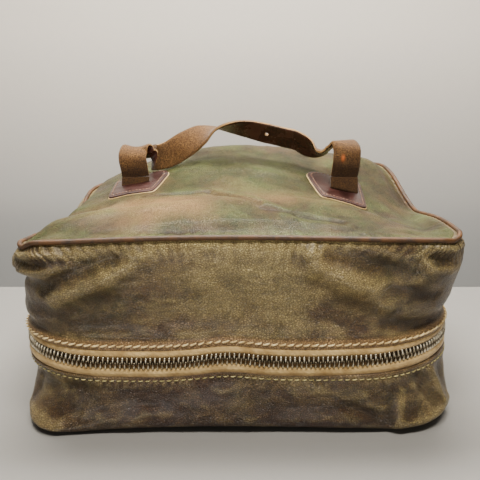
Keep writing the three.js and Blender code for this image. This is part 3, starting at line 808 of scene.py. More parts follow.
def face_outwards(piece):
    """Turns a closed piece's faces to point out of it."""
    form = bmesh.new()
    form.from_mesh(piece.data)
    bmesh.ops.recalc_face_normals(form, faces=form.faces)
    form.to_mesh(piece.data)
    form.free()
    return piece


def disc(radius, sides=10, squeeze=1.0):
    turns = np.linspace(0, 2 * math.pi, sides, endpoint=False)
    return [(radius * math.cos(t), radius * squeeze * math.sin(t)) for t in turns]


def copies(name, template, faces, origins, along, out, up, material):
    """One mesh holding a copy of the template, given as (along, outward, upward), at each origin."""
    template = np.asarray(template, float)
    points = (
        origins[:, None]
        + template[None, :, :1] * along[:, None]
        + template[None, :, 1:2] * out[:, None]
        + template[None, :, 2:] * up[:, None]
    )
    count = len(template)
    every = [tuple(v + i * count for v in face) for i in range(len(origins)) for face in faces]
    return face_outwards(make_mesh(name, points.reshape(-1, 3), every, material))


def lofted(rings):
    """Points and faces of a closed solid through rings of equal length."""
    count = len(rings[0])
    points = [p for ring in rings for p in ring]
    ends = [tuple(range(count))[::-1], tuple((len(rings) - 1) * count + k for k in range(count))]
    return points, ends + ring_faces(len(rings), count)


def line_on(point, s, a_from, a_to, extra):
    """A line along a wall at the height s, 1 mm between its points."""
    a = np.arange(a_from, a_to, 1.0)
    return point(a, np.full_like(a, s), extra)


# ------------------------------------------------------------------ zip
def zip_line(out, up, a_from=-SEAM + 6, a_to=SEAM - 6):
    """The zip's line, moved outwards and up from its centre."""
    a = np.arange(a_from, a_to, 1.0)
    x, y, nx, ny = outline(a, out + zip_bulge(a), zip_radius(a), 58)
    return np.stack([x, y, ZIP_Z + zip_wave(a) + up], -1), np.stack([nx, ny, 0 * nx], -1)


TOOTH_PITCH = 4.15
# Half width along the zip, depth and distance from the zip's centre line of the sections of one tooth.
TOOTH = [
    (0.55, 1.0, 6.1), (0.95, 2.0, 5.7), (1.0, 2.9, 4.4), (0.72, 3.3, 2.6),
    (0.7, 3.2, 1.3), (0.98, 2.9, 0.4), (0.98, 2.4, -0.7), (0.6, 1.5, -1.2),
]
# Each tape's section: how far out and how far from the zip's centre line it lies.
TAPE_EDGE = [(1.0, 0.5), (1.3, 2.6), (1.6, 4.6)]
TAPES = {
    "upper": TAPE_EDGE + [(3.4, 5.4), (4.3, 7.0), (4.2, 9.2), (2.6, 12.2), (0.2, 15.5), (-1.5, 20)],
    "lower": TAPE_EDGE + [(3.6, 5.4), (5.0, 7.2), (5.2, 9.6), (4.0, 12.6), (1.4, 16.0), (-1.2, 20)],
}


def tooth_form():
    rings = []
    for half, depth, reach in TOOTH:
        ring = []
        for x, y in [(-1, -0.3), (-1, 0.62), (-0.62, 1), (0.62, 1), (1, 0.62), (1, -0.3)]:
            ring.append((x * half, CHAIN_OUT - 3.3 + depth * y, reach))
        rings.append(ring)
    return lofted(rings)


def zip_halves():
    points, faces = tooth_form()
    for name, side, body in (("upper", 1, "lid"), ("lower", -1, "tray")):
        form = [(x, y, z * side) for x, y, z in points]
        line, normals = zip_line(0, 0, -SEAM + 10, SEAM - (38 if side > 0 else 12))
        spots, outs = even_steps(line, normals, TOOTH_PITCH, start=0 if side > 0 else TOOTH_PITCH / 2)
        along, out, up = frames_along(spots, outs)
        teeth = copies(f"{name}_zip_teeth", form, faces, spots, along, out, np.abs(up), METAL)
        reach = np.abs(np.array([p[2] for p in form]))
        # tone: darker where the teeth interlock and where they go into the tape, as painted shade in these
        # hollows
        tone_field = -0.9 * smooth(2.6, 0.8, reach) - 0.5 * smooth(4.6, 6, reach)
        paint(teeth, "tone", np.tile(tone_field, len(spots)))
        place(teeth, body, "zip_metal", f"{name}_zip_chain")

        rows = TAPES[name]
        fine = np.linspace(0, 1, 30)
        knots = np.linspace(0, 1, len(rows))
        outs_fine = np.interp(fine, knots, [r[0] for r in rows])
        ups_fine = np.interp(fine, knots, [r[1] for r in rows]) * side
        strips = [zip_line(o, u)[0] for o, u in zip(outs_fine, ups_fine)]
        grid = np.stack(strips if side > 0 else strips[::-1], 1)
        tape = make_mesh(f"{name}_zip_tape_cloth", grid.reshape(-1, 3), grid_faces(*grid.shape[:2]), TAPE)
        shade = -1.0 * smooth(0.36, 0.22, fine) - 0.8 * smooth(0.66, 0.82, fine)
        paint(tape, "tone", np.tile(shade if side > 0 else shade[::-1], len(grid)))
        thicken(tape, 0.9)
        place(tape, body, "zip_tape", f"{name}_zip_tape")


STITCH_PITCH = 7.2


def stitch_form(length, radius, slant):
    """One stitch: a short cord whose ends go down into the leather."""
    rings = []
    turns = np.linspace(0, 2 * math.pi, 7)[:-1]
    for t in np.linspace(-1, 1, 7):
        lift = radius * 0.55 - radius * 1.9 * abs(t) ** 4
        girth = radius * (1 - 0.3 * abs(t) ** 3)
        middle = np.array([t * length / 2, lift, t * slant])
        rings.append([tuple(middle + [0, girth * math.cos(q), girth * math.sin(q)]) for q in turns])
    return lofted(rings)


def stitches(name, points, normals, pitch, length, radius, slant, material, body, slot):
    spots, outs = even_steps(points, normals, pitch, pitch / 2)
    along, out, up = frames_along(spots, outs)
    form, faces = stitch_form(length, radius, slant)
    return place(copies(name, form, faces, spots, along, out, up, material), body, slot)


def zip_stitching():
    line, normals = line_on(upper_point, 4.2, -SEAM + 3, SEAM - 3, 1.1)
    stitches("upper_zip_stitches", line, normals, STITCH_PITCH, 7.0, 0.95, -0.9, THREAD, "lid", "zip_tape")
    line, normals = line_on(lower_point, 53.4, -SEAM + 3, SEAM - 3, 0.1)
    stitches("lower_zip_stitches", line, normals, 6.4, 4.6, 0.62, -0.2, DULL_THREAD, "tray", "zip_tape")


# ------------------------------------------------------------------ top panel and piping
CREST_LINE = [(-150, 186), (-122, 197), (-90, 204), (-45, 210), (0, 222), (45, 231), (95, 228), (150, 214)]
LEFT_FALL = [(-150, 10), (-110, 14), (-42, 23), (0, 34), (45, 44), (100, 44), (150, 36)]
RIGHT_FALL = [(-150, 8), (-110, 14), (-42, 28), (0, 24), (45, 17), (100, 18), (150, 18)]
PANEL_FOLDS = [
    ((-170, -112), (-120, -104), 12, 3.0),
    ((-168, -78), (-128, -66), 12, -4.0),
    ((-120, -100), (-20, -96), 10, 1.6),
    ((-92, -60), (-30, -58), 4, -1.6),
    ((-30, -60), (18, -98), 4, -2.0),
    ((-10, -74), (40, -112), 8, 2.2),
    ((20, -108), (90, -122), 4, -1.6),
    ((60, -78), (120, -92), 12, 2.6),
    ((118, -60), (168, -96), 9, -2.2),
    ((120, -20), (168, -60), 11, 2.0),
    ((-60, 10), (30, -10), 16, 1.5),
    ((-70, 40), (60, 52), 18, 1.5),
    ((-150, 20), (-110, 60), 12, -2.0),
    ((100, 30), (150, 70), 14, 2.0),
    ((-60, 100), (70, 96), 12, -2.0),
]


def dome(x, y):
    """The top panel's smooth shape: the height of its crest line, less its fall to the left or the right."""
    to_left = curve(LEFT_FALL, y) * (np.abs(x) / 162) ** 1.9
    to_right = curve(RIGHT_FALL, y) * (np.abs(x) / 138) ** 1.6
    return curve(CREST_LINE, y) - np.where(x < 0, to_left, to_right)


def disc_grid(rows, columns):
    """A grid over the whole plan: each point's place along the outline, and its share of the way out."""
    p, q = np.meshgrid(np.linspace(-1, 1, rows), np.linspace(-1, 1, columns), indexing="ij")
    share = np.maximum(np.abs(p), np.abs(q))
    with np.errstate(divide="ignore", invalid="ignore"):
        u = np.where(share > 0, p / share, 0)
        v = np.where(share > 0, q / share, 0)
    front_mid = (FRONT_END + CORNER_END) / 2
    rear_mid = (SIDE_END + REAR_END) / 2
    ends = np.abs(q) >= np.abs(p)  # nearer the front or back than the sides
    a = np.where(ends & (q < 0), u * front_mid, 0)
    a = np.where(~ends, np.sign(p) * (front_mid + (v + 1) / 2 * (rear_mid - front_mid)), a)
    behind = np.sign(u + 1e-9) * (BACK_END - np.abs(u) * (BACK_END - rear_mid))
    return np.where(ends & (q > 0), behind, a), share


def panel_surface(x, y):
    """Height of the top panel's leather inside its edge."""
    flat = np.stack([x, y, 0 * x], -1).reshape(-1, 3)
    stretched = flat * np.array([0.55, 1.0, 1.0])
    soft = 2.2 * fractal(stretched, 60, 3, 21.0).reshape(x.shape)
    lines = 0.5 - np.abs(fractal(stretched, 26, 4, 22.0)).reshape(x.shape)
    return fold_field(x, y, PANEL_FOLDS) + soft + 0.9 * lines


def top_panel():
    rows, columns = 200, 160
    a, share = disc_grid(rows, columns)
    rim, normal = upper_point(a, np.full_like(a, 100.0))
    rim = rim - normal * 2.6
    spread = share**0.94
    x, y = rim[..., 0] * spread, rim[..., 1] * spread
    hold = smooth(0.86, 1.0, share)
    edge = rim[..., 2] + 1.0 + 3.0 * np.sqrt(np.clip((1 - share) / 0.08, 0, 1))
    moved = panel_surface(x, y) * smooth(0.0, 0.06, 1 - share)
    moved += 0.9 * puckers(a.ravel(), 23.0).reshape(x.shape) * bell(share, 0.97, 0.03)
    z = dome(x, y) * (1 - hold) + edge * hold + moved * smooth(1.0, 0.95, share)
    points = np.stack([x, y, z], -1)
    piece = make_mesh("top_panel_leather", points.reshape(-1, 3), grid_faces(rows, columns), PANEL)
    # crest: the panel's folds against their blurred surroundings, painted paler on crests (partly wear,
    # partly painted highlight) and darker in valleys (painted shade)
    low = moved.copy()
    for _ in range(10):
        inner = low.copy()
        inner[1:-1, 1:-1] = (low[2:, 1:-1] + low[:-2, 1:-1] + low[1:-1, 2:] + low[1:-1, :-2]) / 4
        low = inner
    paint(piece, "crest", np.clip((moved - low) / 0.7, -1, 1))
    # tone: pale along the front edge as painted highlight, and paler in the middle; dark as painted shade in
    # the dent at the left front, and darker at the right front
    pale = 0.85 * smooth(0.93, 0.99, share) * (y < 0) * (0.4 + 0.6 * bell(x, 10, 90))
    pale += 0.3 * bell(x, -10, 70) * bell(y, -20, 40)
    warm = 0.9 * bell(x, -80, 65) * bell(y, -92, 30) + 0.35 * bell(x, 45, 50) * bell(y, -70, 30)
    dark = 0.3 * bell(x, 140, 60) * bell(y, -100, 40) + 0.45 * bell(x, -150, 22) * bell(y, -60, 26)
    paint(piece, "tone", np.clip(pale - dark + 0.4 * cloud(x, y, 44, 3, 61.0), -1, 1))
    paint(piece, "tan", np.clip(warm + 0.3 * cloud(x, y, 40, 3, 63.0), 0, 1))
    thicken(piece, LEATHER)
    place(piece, "lid", "panel_leather", "top_panel")


def piping():
    a = wrapped(np.arange(0, 2 * BACK_END, 2.0))
    rim, normal = upper_point(a, np.full_like(a, 100.0))
    line = rim + normal * 1.4 + np.array([0, 0, 1.6])
    line = line + normal * (0.35 * cloud(a, 0 * a, 24, 2, 31.0))[:, None]
    piece = sweep("top_piping_cord", line, normal, disc(2.3), PIPING, closed=True)
    place(piece, "lid", "piping_leather", "top_piping")

    _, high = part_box("base_piping")
    x, y, nx, ny = outline(a, high.x / MM - HALF_X - 2, 46, 43)
    line = np.stack([x, y, np.full_like(x, 2.4)], -1)
    piece = sweep("base_piping_cord", line, np.stack([nx, ny, 0 * nx], -1), disc(2.0), PIPING, closed=True)
    place(piece, "tray", "piping_leather", "base_piping")


# ------------------------------------------------------------------ base and linings
def base():
    a, share = disc_grid(70, 56)
    x, y, _, _ = outline(a, -17.0, 40, 37)
    x, y = x * share, y * share
    z = np.maximum(1.0 + 0.5 * cloud(x, y, 50, 3, 91.0), 0.35)
    points = np.stack([x, y, z], -1)
    piece = make_mesh("base_leather", points.reshape(-1, 3), grid_faces(*x.shape), BASE)
    paint(piece, "tone", -0.4 * smooth(0.9, 1.0, share))
    paint(piece, "tan", 0 * share)
    paint(piece, "crest", 0 * share)
    thicken(piece, 1.6, 1.0)
    place(piece, "tray", "base_leather", "base_panel")
    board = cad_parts["base_board"]
    board.data.materials.clear()
    board.data.materials.append(BOARD)


def lining(name, floor, wall, floor_share, node, body):
    """A cloth lining: a floor or roof out to floor_share of the way, then the wall."""
    a, share = disc_grid(110, 90)
    rise = np.clip((share - floor_share) / (1 - floor_share), 0, 1)
    edge = wall(a, np.zeros_like(a))
    inner = edge[..., :2] * (np.minimum(share, floor_share) / floor_share)[..., None]
    flat = np.concatenate([inner, floor(inner[..., 0], inner[..., 1])[..., None]], -1)
    join = smooth(0.75 * floor_share, floor_share, share)[..., None]
    flat[..., 2:] = flat[..., 2:] * (1 - join) + edge[..., 2:] * join
    points = np.where((share > floor_share)[..., None], wall(a, rise), flat)
    creases = fractal(points.reshape(-1, 3), 34, 3, 95.0).reshape(a.shape)
    shift = 0.9 * creases * smooth(1.0, 0.9, share)
    piece = make_mesh(name, points.reshape(-1, 3), grid_faces(*a.shape), TWILL)
    # tone: darker where the crease noise is low, which on the floor is where the cloth is pushed down, as
    # painted shade in its creases, and darker along the line where floor meets wall, as painted shade in that
    # corner
    paint(piece, "tone", np.clip(0.5 * creases - 0.5 * bell(share, floor_share, 0.05), -1, 1))
    for vertex, move in zip(piece.data.vertices, shift.ravel()):
        vertex.co += Vector((0, 0, move * MM)) if abs(vertex.normal.z) > 0.6 else Vector((0, 0, 0))
    thicken(piece, 1.0)
    place(piece, body, "lining_cloth", node)


def linings():
    def tray_wall(a, rise):
        points, _ = lower_point(a, 5.5 + 48 * rise, -8.5 + 2.0 * smooth(0.6, 1.0, rise))
        return points

    def lid_wall(a, rise):
        points, _ = upper_point(a, 95 - 89 * rise, -9.0 + 2.5 * smooth(0.6, 1.0, rise))
        return points

    lining("tray_lining_cloth", lambda x, y: np.full_like(x, 6.6), tray_wall, 0.74, "tray_lining", "tray")
    lining("lid_lining_cloth", lambda x, y: dome(x, y) - 9.5, lid_wall, 0.62, "lid_lining", "lid")


# ------------------------------------------------------------------ slider, pull and end tabs
def plate(outline_2d, low, high, bevel):
    """Points and faces of a flat plate with eased edges: outline in (along, up), from depth low to high."""
    shape = np.asarray(outline_2d, float)
    middle = shape.mean(0)
    span = np.abs(shape - middle).max(0)
    inset = middle + (shape - middle) * (1 - bevel / span)

    def ring(flat, depth):
        return [(depth, p[0], p[1]) for p in flat]

    return lofted([ring(inset, low), ring(shape, low + bevel), ring(shape, high - bevel), ring(inset, high)])


def rounded(half_long, half_high, radius, taper_low=0.0, steps=5):
    """A rectangle with round corners, narrower by taper_low at its near end."""
    points = []
    for cx, cz, first in ((1, 1, 0), (-1, 1, 90), (-1, -1, 180), (1, -1, 270)):
        high = half_high - (taper_low if cx < 0 else 0)
        middle_x, middle_z = cx * (half_long - radius), cz * (high - radius)
        for turn in np.linspace(first, first + 90, steps):
            t = math.radians(turn)
            points.append((middle_x + radius * math.cos(t), middle_z + radius * math.sin(t)))
    return points


def solids(name, parts, material):
    """One mesh of several closed solids, each (points, faces), moved by its offset."""
    points, faces = [], []
    for (more, rings), shift in parts:
        faces += [tuple(v + len(points) for v in face) for face in rings]
        points += [tuple(np.add(p, shift)) for p in more]
    piece = face_outwards(make_mesh(name, points, faces, material))
    edges = piece.modifiers.new("edges", "BEVEL")
    edges.width, edges.segments, edges.limit_method = 0.25 * MM, 2, "ANGLE"
    return piece


def rod(points, radius, squeeze=1.0):
    """Points and faces of a round bar along a list of points."""
    path = np.asarray(points, float)
    along = np.concatenate([path[1:2] - path[:1], path[2:] - path[:-2], path[-1:] - path[-2:-1]])
    along = unit(along)
    side = unit(np.cross(along, np.array([0.31, 0.12, 0.94])))
    other = np.cross(along, side)
    section = disc(radius, 12, squeeze)
    return lofted([[tuple(p + u * s + v * o) for u, v in section] for p, s, o in zip(path, side, other)])


def slider():
    low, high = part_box("slider_body")
    y = (low.y + high.y) / 2 / MM
    front = plate(rounded(10, 8, 3.2, 1.6), 202.9, 204.6, 0.5)
    parts = [(front, (0, y, ZIP_Z))]
    for side in (1, -1):
        rail = [(202.6, y - 9, ZIP_Z + side * 7.0), (202.6, y + 9, ZIP_Z + side * 7.9)]
        parts.append((rod(rail, 0.85), (0, 0, 0)))
    turns = np.linspace(0, math.pi, 15)
    arch = [(204.2 + 4.3 * math.sin(t) ** 0.7, y, ZIP_Z - 6.1 * math.cos(t)) for t in turns]
    parts.append((rod(arch, 0.85, 2.0), (0, 0, 0)))
    place(solids("zip_slider_shell", parts, METAL), "zip_slider", "zip_metal", "slider_body")

    low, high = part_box("slider_back_plate")
    back = plate(rounded(9.6, 7.8, 3.0, 1.6), low.x / MM, high.x / MM, 0.4)
    piece = solids("zip_slider_back", [(back, (0, y, ZIP_Z))], METAL)
    place(piece, "zip_slider", "zip_metal", "slider_back_plate")

    low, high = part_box("slider_pull")
    bar_x = 206.4
    half = (high.y - low.y) / 2 / MM
    foot = low.z / MM
    bends = [(half - 0.8, -9.0), (half - 0.8, -1.2), (half - 1.4, 0)]
    loop = [(bar_x, y - u, ZIP_Z + v) for u, v in bends] + [(bar_x, y + u, ZIP_Z + v) for u, v in bends[::-1]]
    parts = [(rod(loop, 0.8), (0, 0, 0))]
    length = ZIP_Z - 8.0 - foot
    tag = [(-u, v) for u, v in rounded(half, length / 2, 2.6)]
    parts.append((plate(tag, bar_x - 0.8, bar_x + 0.8, 0.35), (0, y, foot + length / 2)))
    raised = plate(rounded(half - 2.2, length / 2 - 3.2, 1.8), bar_x + 0.7, bar_x + 1.15, 0.2)
    parts.append((raised, (0, y, foot + length / 2)))
    place(solids("zip_pull_tag", parts, METAL), "zip_pull", "zip_metal", "slider_pull")


def tab_out(across, along, proud=0.0):
    """How far out an end tab's surface lies; its ends and edges bend towards the wall."""
    return 205.3 + proud - 2.2 * smooth(0.3, 0.95, np.abs(along)) - 0.5 * np.abs(across) ** 3


TAB_SEAMS = [
    ((-0.6, -0.82), (0.6, -0.82)),
    ((-0.6, 0.82), (0.6, 0.82)),
    ((-0.6, -0.7), (0.6, 0.7)),
    ((0.6, -0.7), (-0.6, 0.7)),
]


def end_tabs():
    """Small leather patches over the zip's ends, sewn down with a cross."""
    for name, side in (("right", 1), ("left", -1)):
        low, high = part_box(f"zip_end_tab_{name}")
        y, z = (low.y + high.y) / 2 / MM, (low.z + high.z) / 2 / MM
        half_y, half_z = (high.y - low.y) / 2 / MM, (high.z - low.z) / 2 / MM
        v, w = np.meshgrid(np.linspace(-1, 1, 15), np.linspace(-1, 1, 33), indexing="ij")
        corner = np.hypot(np.maximum(np.abs(v) - 0.6, 0) / 0.4, np.maximum(np.abs(w) - 0.86, 0) / 0.14)
        pull = np.where(corner > 1, 1 / np.maximum(corner, 1), 1)
        sit = np.sign(v) * (np.minimum(np.abs(v), 0.6) + np.maximum(np.abs(v) - 0.6, 0) * pull)
        rise = np.sign(w) * (np.minimum(np.abs(w), 0.86) + np.maximum(np.abs(w) - 0.86, 0) * pull)
        points = np.stack([side * tab_out(v, w), y + half_y * sit, z + half_z * rise], -1)
        faces = grid_faces(15, 33)
        if side > 0:
            faces = [f[::-1] for f in faces]
        piece = make_mesh(f"zip_end_patch_{name}", points.reshape(-1, 3), faces, WALL)
        paint(piece, "tone", 0.3 - 0.6 * smooth(0.7, 1.0, np.maximum(np.abs(v), np.abs(w))))
        paint(piece, "tan", 0 * v)
        paint(piece, "crest", 0 * v)
        thicken(piece, 1.8)
        place(piece, "tray", "wall_leather", f"zip_end_tab_{name}")
        rows = []
        for start, end in TAB_SEAMS:
            share = np.linspace(0, 1, 30)[:, None]
            flat = np.array(start) * (1 - share) + np.array(end) * share
            out = tab_out(flat[:, 0], flat[:, 1], -0.05)
            rows.append(np.stack([side * out, y + half_y * flat[:, 0], z + half_z * flat[:, 1]], -1))
        outwards = np.array([side, 0, 0.0])
        sew(f"zip_end_stitches_{name}", rows, outwards, 2.9, 2.3, 0.38, THREAD, "tray", "zip_tape")


def sew(name, rows, out_direction, pitch, length, radius, material, body, slot):
    """Stitches along several rows of points, all on one mesh."""
    form, form_faces = stitch_form(length, radius, 0.1)
    points, faces = [], []
    for row in rows:
        spots, outs = even_steps(row, np.broadcast_to(out_direction, row.shape), pitch, pitch / 2)
        along, out, up = frames_along(spots, outs)
        for o, t, n, b in zip(spots, along, out, up):
            faces += [tuple(v + len(points) for v in face) for face in form_faces]
            points += [tuple(o + t * p[0] + n * p[1] + b * p[2]) for p in form]
    return place(face_outwards(make_mesh(name, points, faces, material)), body, slot)


# ------------------------------------------------------------------ strap and its patches
ROOT_X, ROOT_Y, STRAP_HALF, STRAP_THICK = 104.5, -25.0, 14.0, 3.4
PATCH_SHAPE = [(18, -25), (18, 24), (-33, 24), (-38, 17), (-26, -25)]
PATCH_SHIFT = {1: 1.5, -1: 6.0}  # how far each patch lies outside its strap root's middle


def local_normal(x, y):
    step = 4.0
    dx = (dome(x + step, y) - dome(x - step, y)) / (2 * step)
    dy = (dome(x, y + step) - dome(x, y - step)) / (2 * step)
    return unit(np.stack([-dx, -dy, np.ones_like(dx)], -1))


def on_panel(x, y, lift):
    x, y = np.asarray(x, float), np.asarray(y, float)
    spot = np.stack([x, y, dome(x, y) + panel_surface(x, y)], -1)
    return spot + local_normal(x, y) * lift, local_normal(x, y)


def round_corners(shape, radius):
    shape = np.asarray(shape, float)
    points = []
    for i, corner in enumerate(shape):
        before, after = unit(shape[i - 1] - corner), unit(shape[(i + 1) % len(shape)] - corner)
        for t in np.linspace(0, 1, 6):
            start, end = corner + before * radius, corner + after * radius
            points.append((1 - t) ** 2 * start + 2 * t * (1 - t) * corner + t * t * end)
    return np.array(points)


def spread_even(loop, count):
    closed = np.concatenate([loop, loop[:1]])
    walked = distance_walked(closed)
    return along_line(np.linspace(0, walked[-1], count, endpoint=False), walked, closed)


def leather_patch(name, shape, lift, thickness, material, puff, body, slot, *nodes):
    """A flat piece of leather lying on the panel: rings of its outline drawn in to the middle."""
    loop = spread_even(round_corners(shape, 4.0), 96)
    middle = loop.mean(0)
    shares = [1.0, 0.992, 0.97, 0.93, 0.87, 0.78, 0.66, 0.5, 0.34, 0.18]
    rings = []
    for share, height in [(1.0, -0.35), (1.0, 0.45)] + [(s, 1.0) for s in shares[1:]]:
        flat = middle + (loop - middle) * share
        rise = lift + thickness * height + puff * smooth(1.0, 0.82, np.float64(share))
        spots, _ = on_panel(flat[:, 0], flat[:, 1], rise)
        rings.append(spots)
    drawn_in = middle + (loop - middle) * 0.97
    under, _ = on_panel(drawn_in[:, 0], drawn_in[:, 1], lift - 0.5)
    points = np.concatenate([under] + rings + [rings[-1].mean(0)[None]])
    count = len(loop)
    faces = [tuple(range(count))[::-1]] + ring_faces(len(rings) + 1, count)
    last = len(rings) * count
    faces += [(last + k, last + (k + 1) % count, len(points) - 1) for k in range(count)]
    piece = face_outwards(make_mesh(name, points, faces, material))
    return place(piece, body, slot, *nodes)


def grown(shape, by):
    """A plan outline with its corners moved away from its middle."""
    spokes = shape - shape.mean(0)
    return shape.mean(0) + spokes * (1 + by / np.linalg.norm(spokes, axis=1, keepdims=True))


def patches():
    for name, side in (("right", 1), ("left", -1)):
        shape = np.array([(side * (ROOT_X + x + PATCH_SHIFT[side]), ROOT_Y + y) for x, y in PATCH_SHAPE])
        if side < 0:
            shape = shape[::-1]
        kind = "lid", "patch_leather"
        leather_patch(f"strap_patch_{name}", shape, 1.0, 1.4, PATCH, 0.7, *kind, f"handle_patch_{name}")
        leather_patch(f"strap_patch_edge_{name}", grown(shape, 0.8), 0.35, 0.5, EDGE, 0.0, *kind)
        inner = spread_even(round_corners(grown(shape, -4.2), 2.5), 160)
        inner = np.concatenate([inner, inner[:1]])
        spots, normals = on_panel(inner[:, 0], inner[:, 1], 3.0)
        spots_even, outs = even_steps(spots, normals, 3.4, 1.0)
        along, out, up = frames_along(spots_even, outs)
        form, faces = stitch_form(2.6, 0.45, 0.0)
        row = copies(f"strap_patch_stitches_{name}", form, faces, spots_even, along, out, up, BROWN_THREAD)
        place(row, "lid", "patch_leather")


STRAP_ROUTE = [
    ((-104.5, -25, 214), (1, 0, 0)),
    ((-105.5, -28.5, 224), (1, 0, 0)),
    ((-107, -26, 235), (1, 0.05, 0)),
    ((-104.5, -17, 240.5), (0.98, 0.2, -0.05)),
    ((-97, -8, 234), (0.9, 0.35, -0.25)),
    ((-88, -1, 229), (0.75, 0.45, -0.5)),
    ((-76, 4, 230.5), (0.5, 0.2, -0.85)),
    ((-57, 9, 241), (0.3, -0.3, -0.85)),
    ((-40, 12, 251), (0.25, -0.7, -0.55)),
    ((-24, 13, 257), (0.05, -1, 0.1)),
    ((-8, 13, 258), (0, -0.85, 0.5)),
    ((8, 12.5, 256.5), (0, -0.7, 0.72)),
    ((26, 12, 252.5), (0, -0.6, 0.8)),
    ((43, 10, 248.5), (0, -0.6, 0.8)),
    ((58, 8, 245), (0.05, -0.6, 0.8)),
    ((70, 3, 239), (0.3, -0.7, 0.65)),
    ((83, -4, 236), (0.1, -0.95, 0.3)),
    ((95, -12, 243), (-0.45, -0.9, 0.1)),
    ((103, -21, 248), (-0.9, -0.4, 0)),
    ((105.5, -28, 243), (-1, -0.05, 0)),
    ((105.5, -31, 230), (-1, 0, 0)),
    ((104.5, -25, 214), (-1, 0, 0)),
]


class StrapLine:
    """The strap's centre line with its direction across, evaluated at shares 0 to 1 of its length."""

    def __init__(self):
        knots = np.array([p for p, _ in STRAP_ROUTE], float)
        across = np.array([a for _, a in STRAP_ROUTE], float)
        places = distance_walked(knots)
        fine = np.linspace(0, places[-1], 900)
        line = np.stack([curve(list(zip(places, knots[:, i])), fine) for i in range(3)], -1)
        turn = np.stack([curve(list(zip(places, across[:, i])), fine) for i in range(3)], -1)
        walked = distance_walked(line)
        self.share, self.length = walked / walked[-1], walked[-1]
        for _ in range(12):
            turn[1:-1] = (turn[2:] + turn[:-2] + 2 * turn[1:-1]) / 4
        self.line, self.turn = line, turn
        self.ahead = np.gradient(line, axis=0)

    def at(self, share, across, height):
        along = unit(along_line(share, self.share, self.ahead))
        turn = along_line(share, self.share, self.turn)
        side = unit(turn - along * np.sum(turn * along, -1, keepdims=True))
        face = np.cross(side, along)
        return along_line(share, self.share, self.line) + side * across[..., None] + face * height[..., None]


def strap():
    """The strap: flesh side on one face, grain on the other, pale cut edges and one punched hole."""
    route = StrapLine()
    stations, columns = 260, 23
    crosswise = np.linspace(-1, 1, columns) * (STRAP_HALF - 0.5)
    share, across = np.meshgrid(np.linspace(0, 1, stations), crosswise, indexing="ij")
    row, column = int(0.585 * stations), columns // 2
    hole = [(i, k) for i in range(row - 2, row + 3) for k in range(column - 2, column + 3)]
    rim = [(i, k) for i, k in hole if abs(i - row) == 2 or abs(k - column) == 2]
    centre = (share[row, column], across[row, column])
    for i, k in rim:
        u, w = (share[i, k] - centre[0]) * route.length, across[i, k] - centre[1]
        stretch = 2.2 / math.hypot(u, w)
        share[i, k], across[i, k] = centre[0] + u * stretch / route.length, centre[1] + w * stretch
    near_edge = np.clip((np.abs(across) - (STRAP_HALF - 2.2)) / 1.7, 0, 1)
    half = STRAP_THICK / 2 * (1 - 0.45 * near_edge**2)
    sag = 0.5 * cloud(share * route.length, across, 30, 3, 71.0)
    flesh, grain = route.at(share, across, half + sag), route.at(share, across, -half + sag)
    count = stations * columns
    points = np.concatenate([flesh.reshape(-1, 3), grain.reshape(-1, 3)])
    gone = {(i, k) for i in range(row - 2, row + 2) for k in range(column - 2, column + 2)}
    faces, looks = [], []

    def face(corners, look):
        faces.append(corners)
        looks.append(look)

    for i in range(stations - 1):
        for k in range(columns - 1):
            if (i, k) in gone:
                continue
            a, b = i * columns + k, (i + 1) * columns + k
            face((a, b, b + 1, a + 1), 0)
            face((a + 1 + count, b + 1 + count, b + count, a + count), 1)
        for k in (0, columns - 1):
            a, b = i * columns + k, (i + 1) * columns + k
            face((a, b, b + count, a + count), 2)
    for i in (0, stations - 1):
        for k in range(columns - 1):
            a, b = i * columns + k, i * columns + k + 1
            face((a, b, b + count, a + count), 0)
    loop = [(row - 2, k) for k in range(column - 2, column + 2)]
    loop += [(i, column + 2) for i in range(row - 2, row + 2)]
    loop += [(row + 2, k) for k in range(column + 2, column - 2, -1)]
    loop += [(i, column - 2) for i in range(row + 2, row - 2, -1)]
    for (i, k), (j, m) in zip(loop, loop[1:] + loop[:1]):
        a, b = i * columns + k, j * columns + m
        face((a, b, b + count, a + count), 2)
    used = sorted({v for f in faces for v in f})
    index = {v: n for n, v in enumerate(used)}
    piece = make_mesh("strap", points[used], [tuple(index[v] for v in f) for f in faces])
    for look in (SUEDE, GRAIN, STRAP_EDGE):
        piece.data.materials.append(look)
    piece.data.polygons.foreach_set("material_index", looks)
    face_outwards(piece)

    def both(grid):
        """Values for the vertices of the flesh side and of the grain side."""
        return np.concatenate([grid.ravel(), grid.ravel()])[used]

    # tone: painted shade, dark, at both roots where the strap goes down to the patches; darker on the right
    # leg; random wear
    root = smooth(0.1, 0.0, share) + smooth(0.9, 1.0, share)
    right_leg = smooth(0.86, 0.9, share)
    wear = cloud(share * route.length, across, 24, 3, 72.0)
    paint(piece, "tone", both(np.clip(-0.95 * root - 0.5 * right_leg + 0.3 * wear, -1, 0.2)))
    scuff = bell(share * route.length, 0.935 * route.length, 2.6) * bell(across, 4.0, 1.5) * (wear > -0.25)
    paint(piece, "tan", both(scuff))
    edges = piece.modifiers.new("edges", "BEVEL")
    edges.width, edges.segments = 0.5 * MM, 2
    edges.limit_method, edges.angle_limit = "ANGLE", math.radians(50)
    place(piece, "handle", "strap_leather", "handle_strap")


# Sections of the strap's tongues: share of the way up, half thickness and half width.
TONGUE = [(0.0, 2.6, 14.4), (0.2, 2.2, 14.1), (0.5, 1.8, 14.0), (0.92, 1.7, 13.9), (1.0, 1.5, 13.6)]


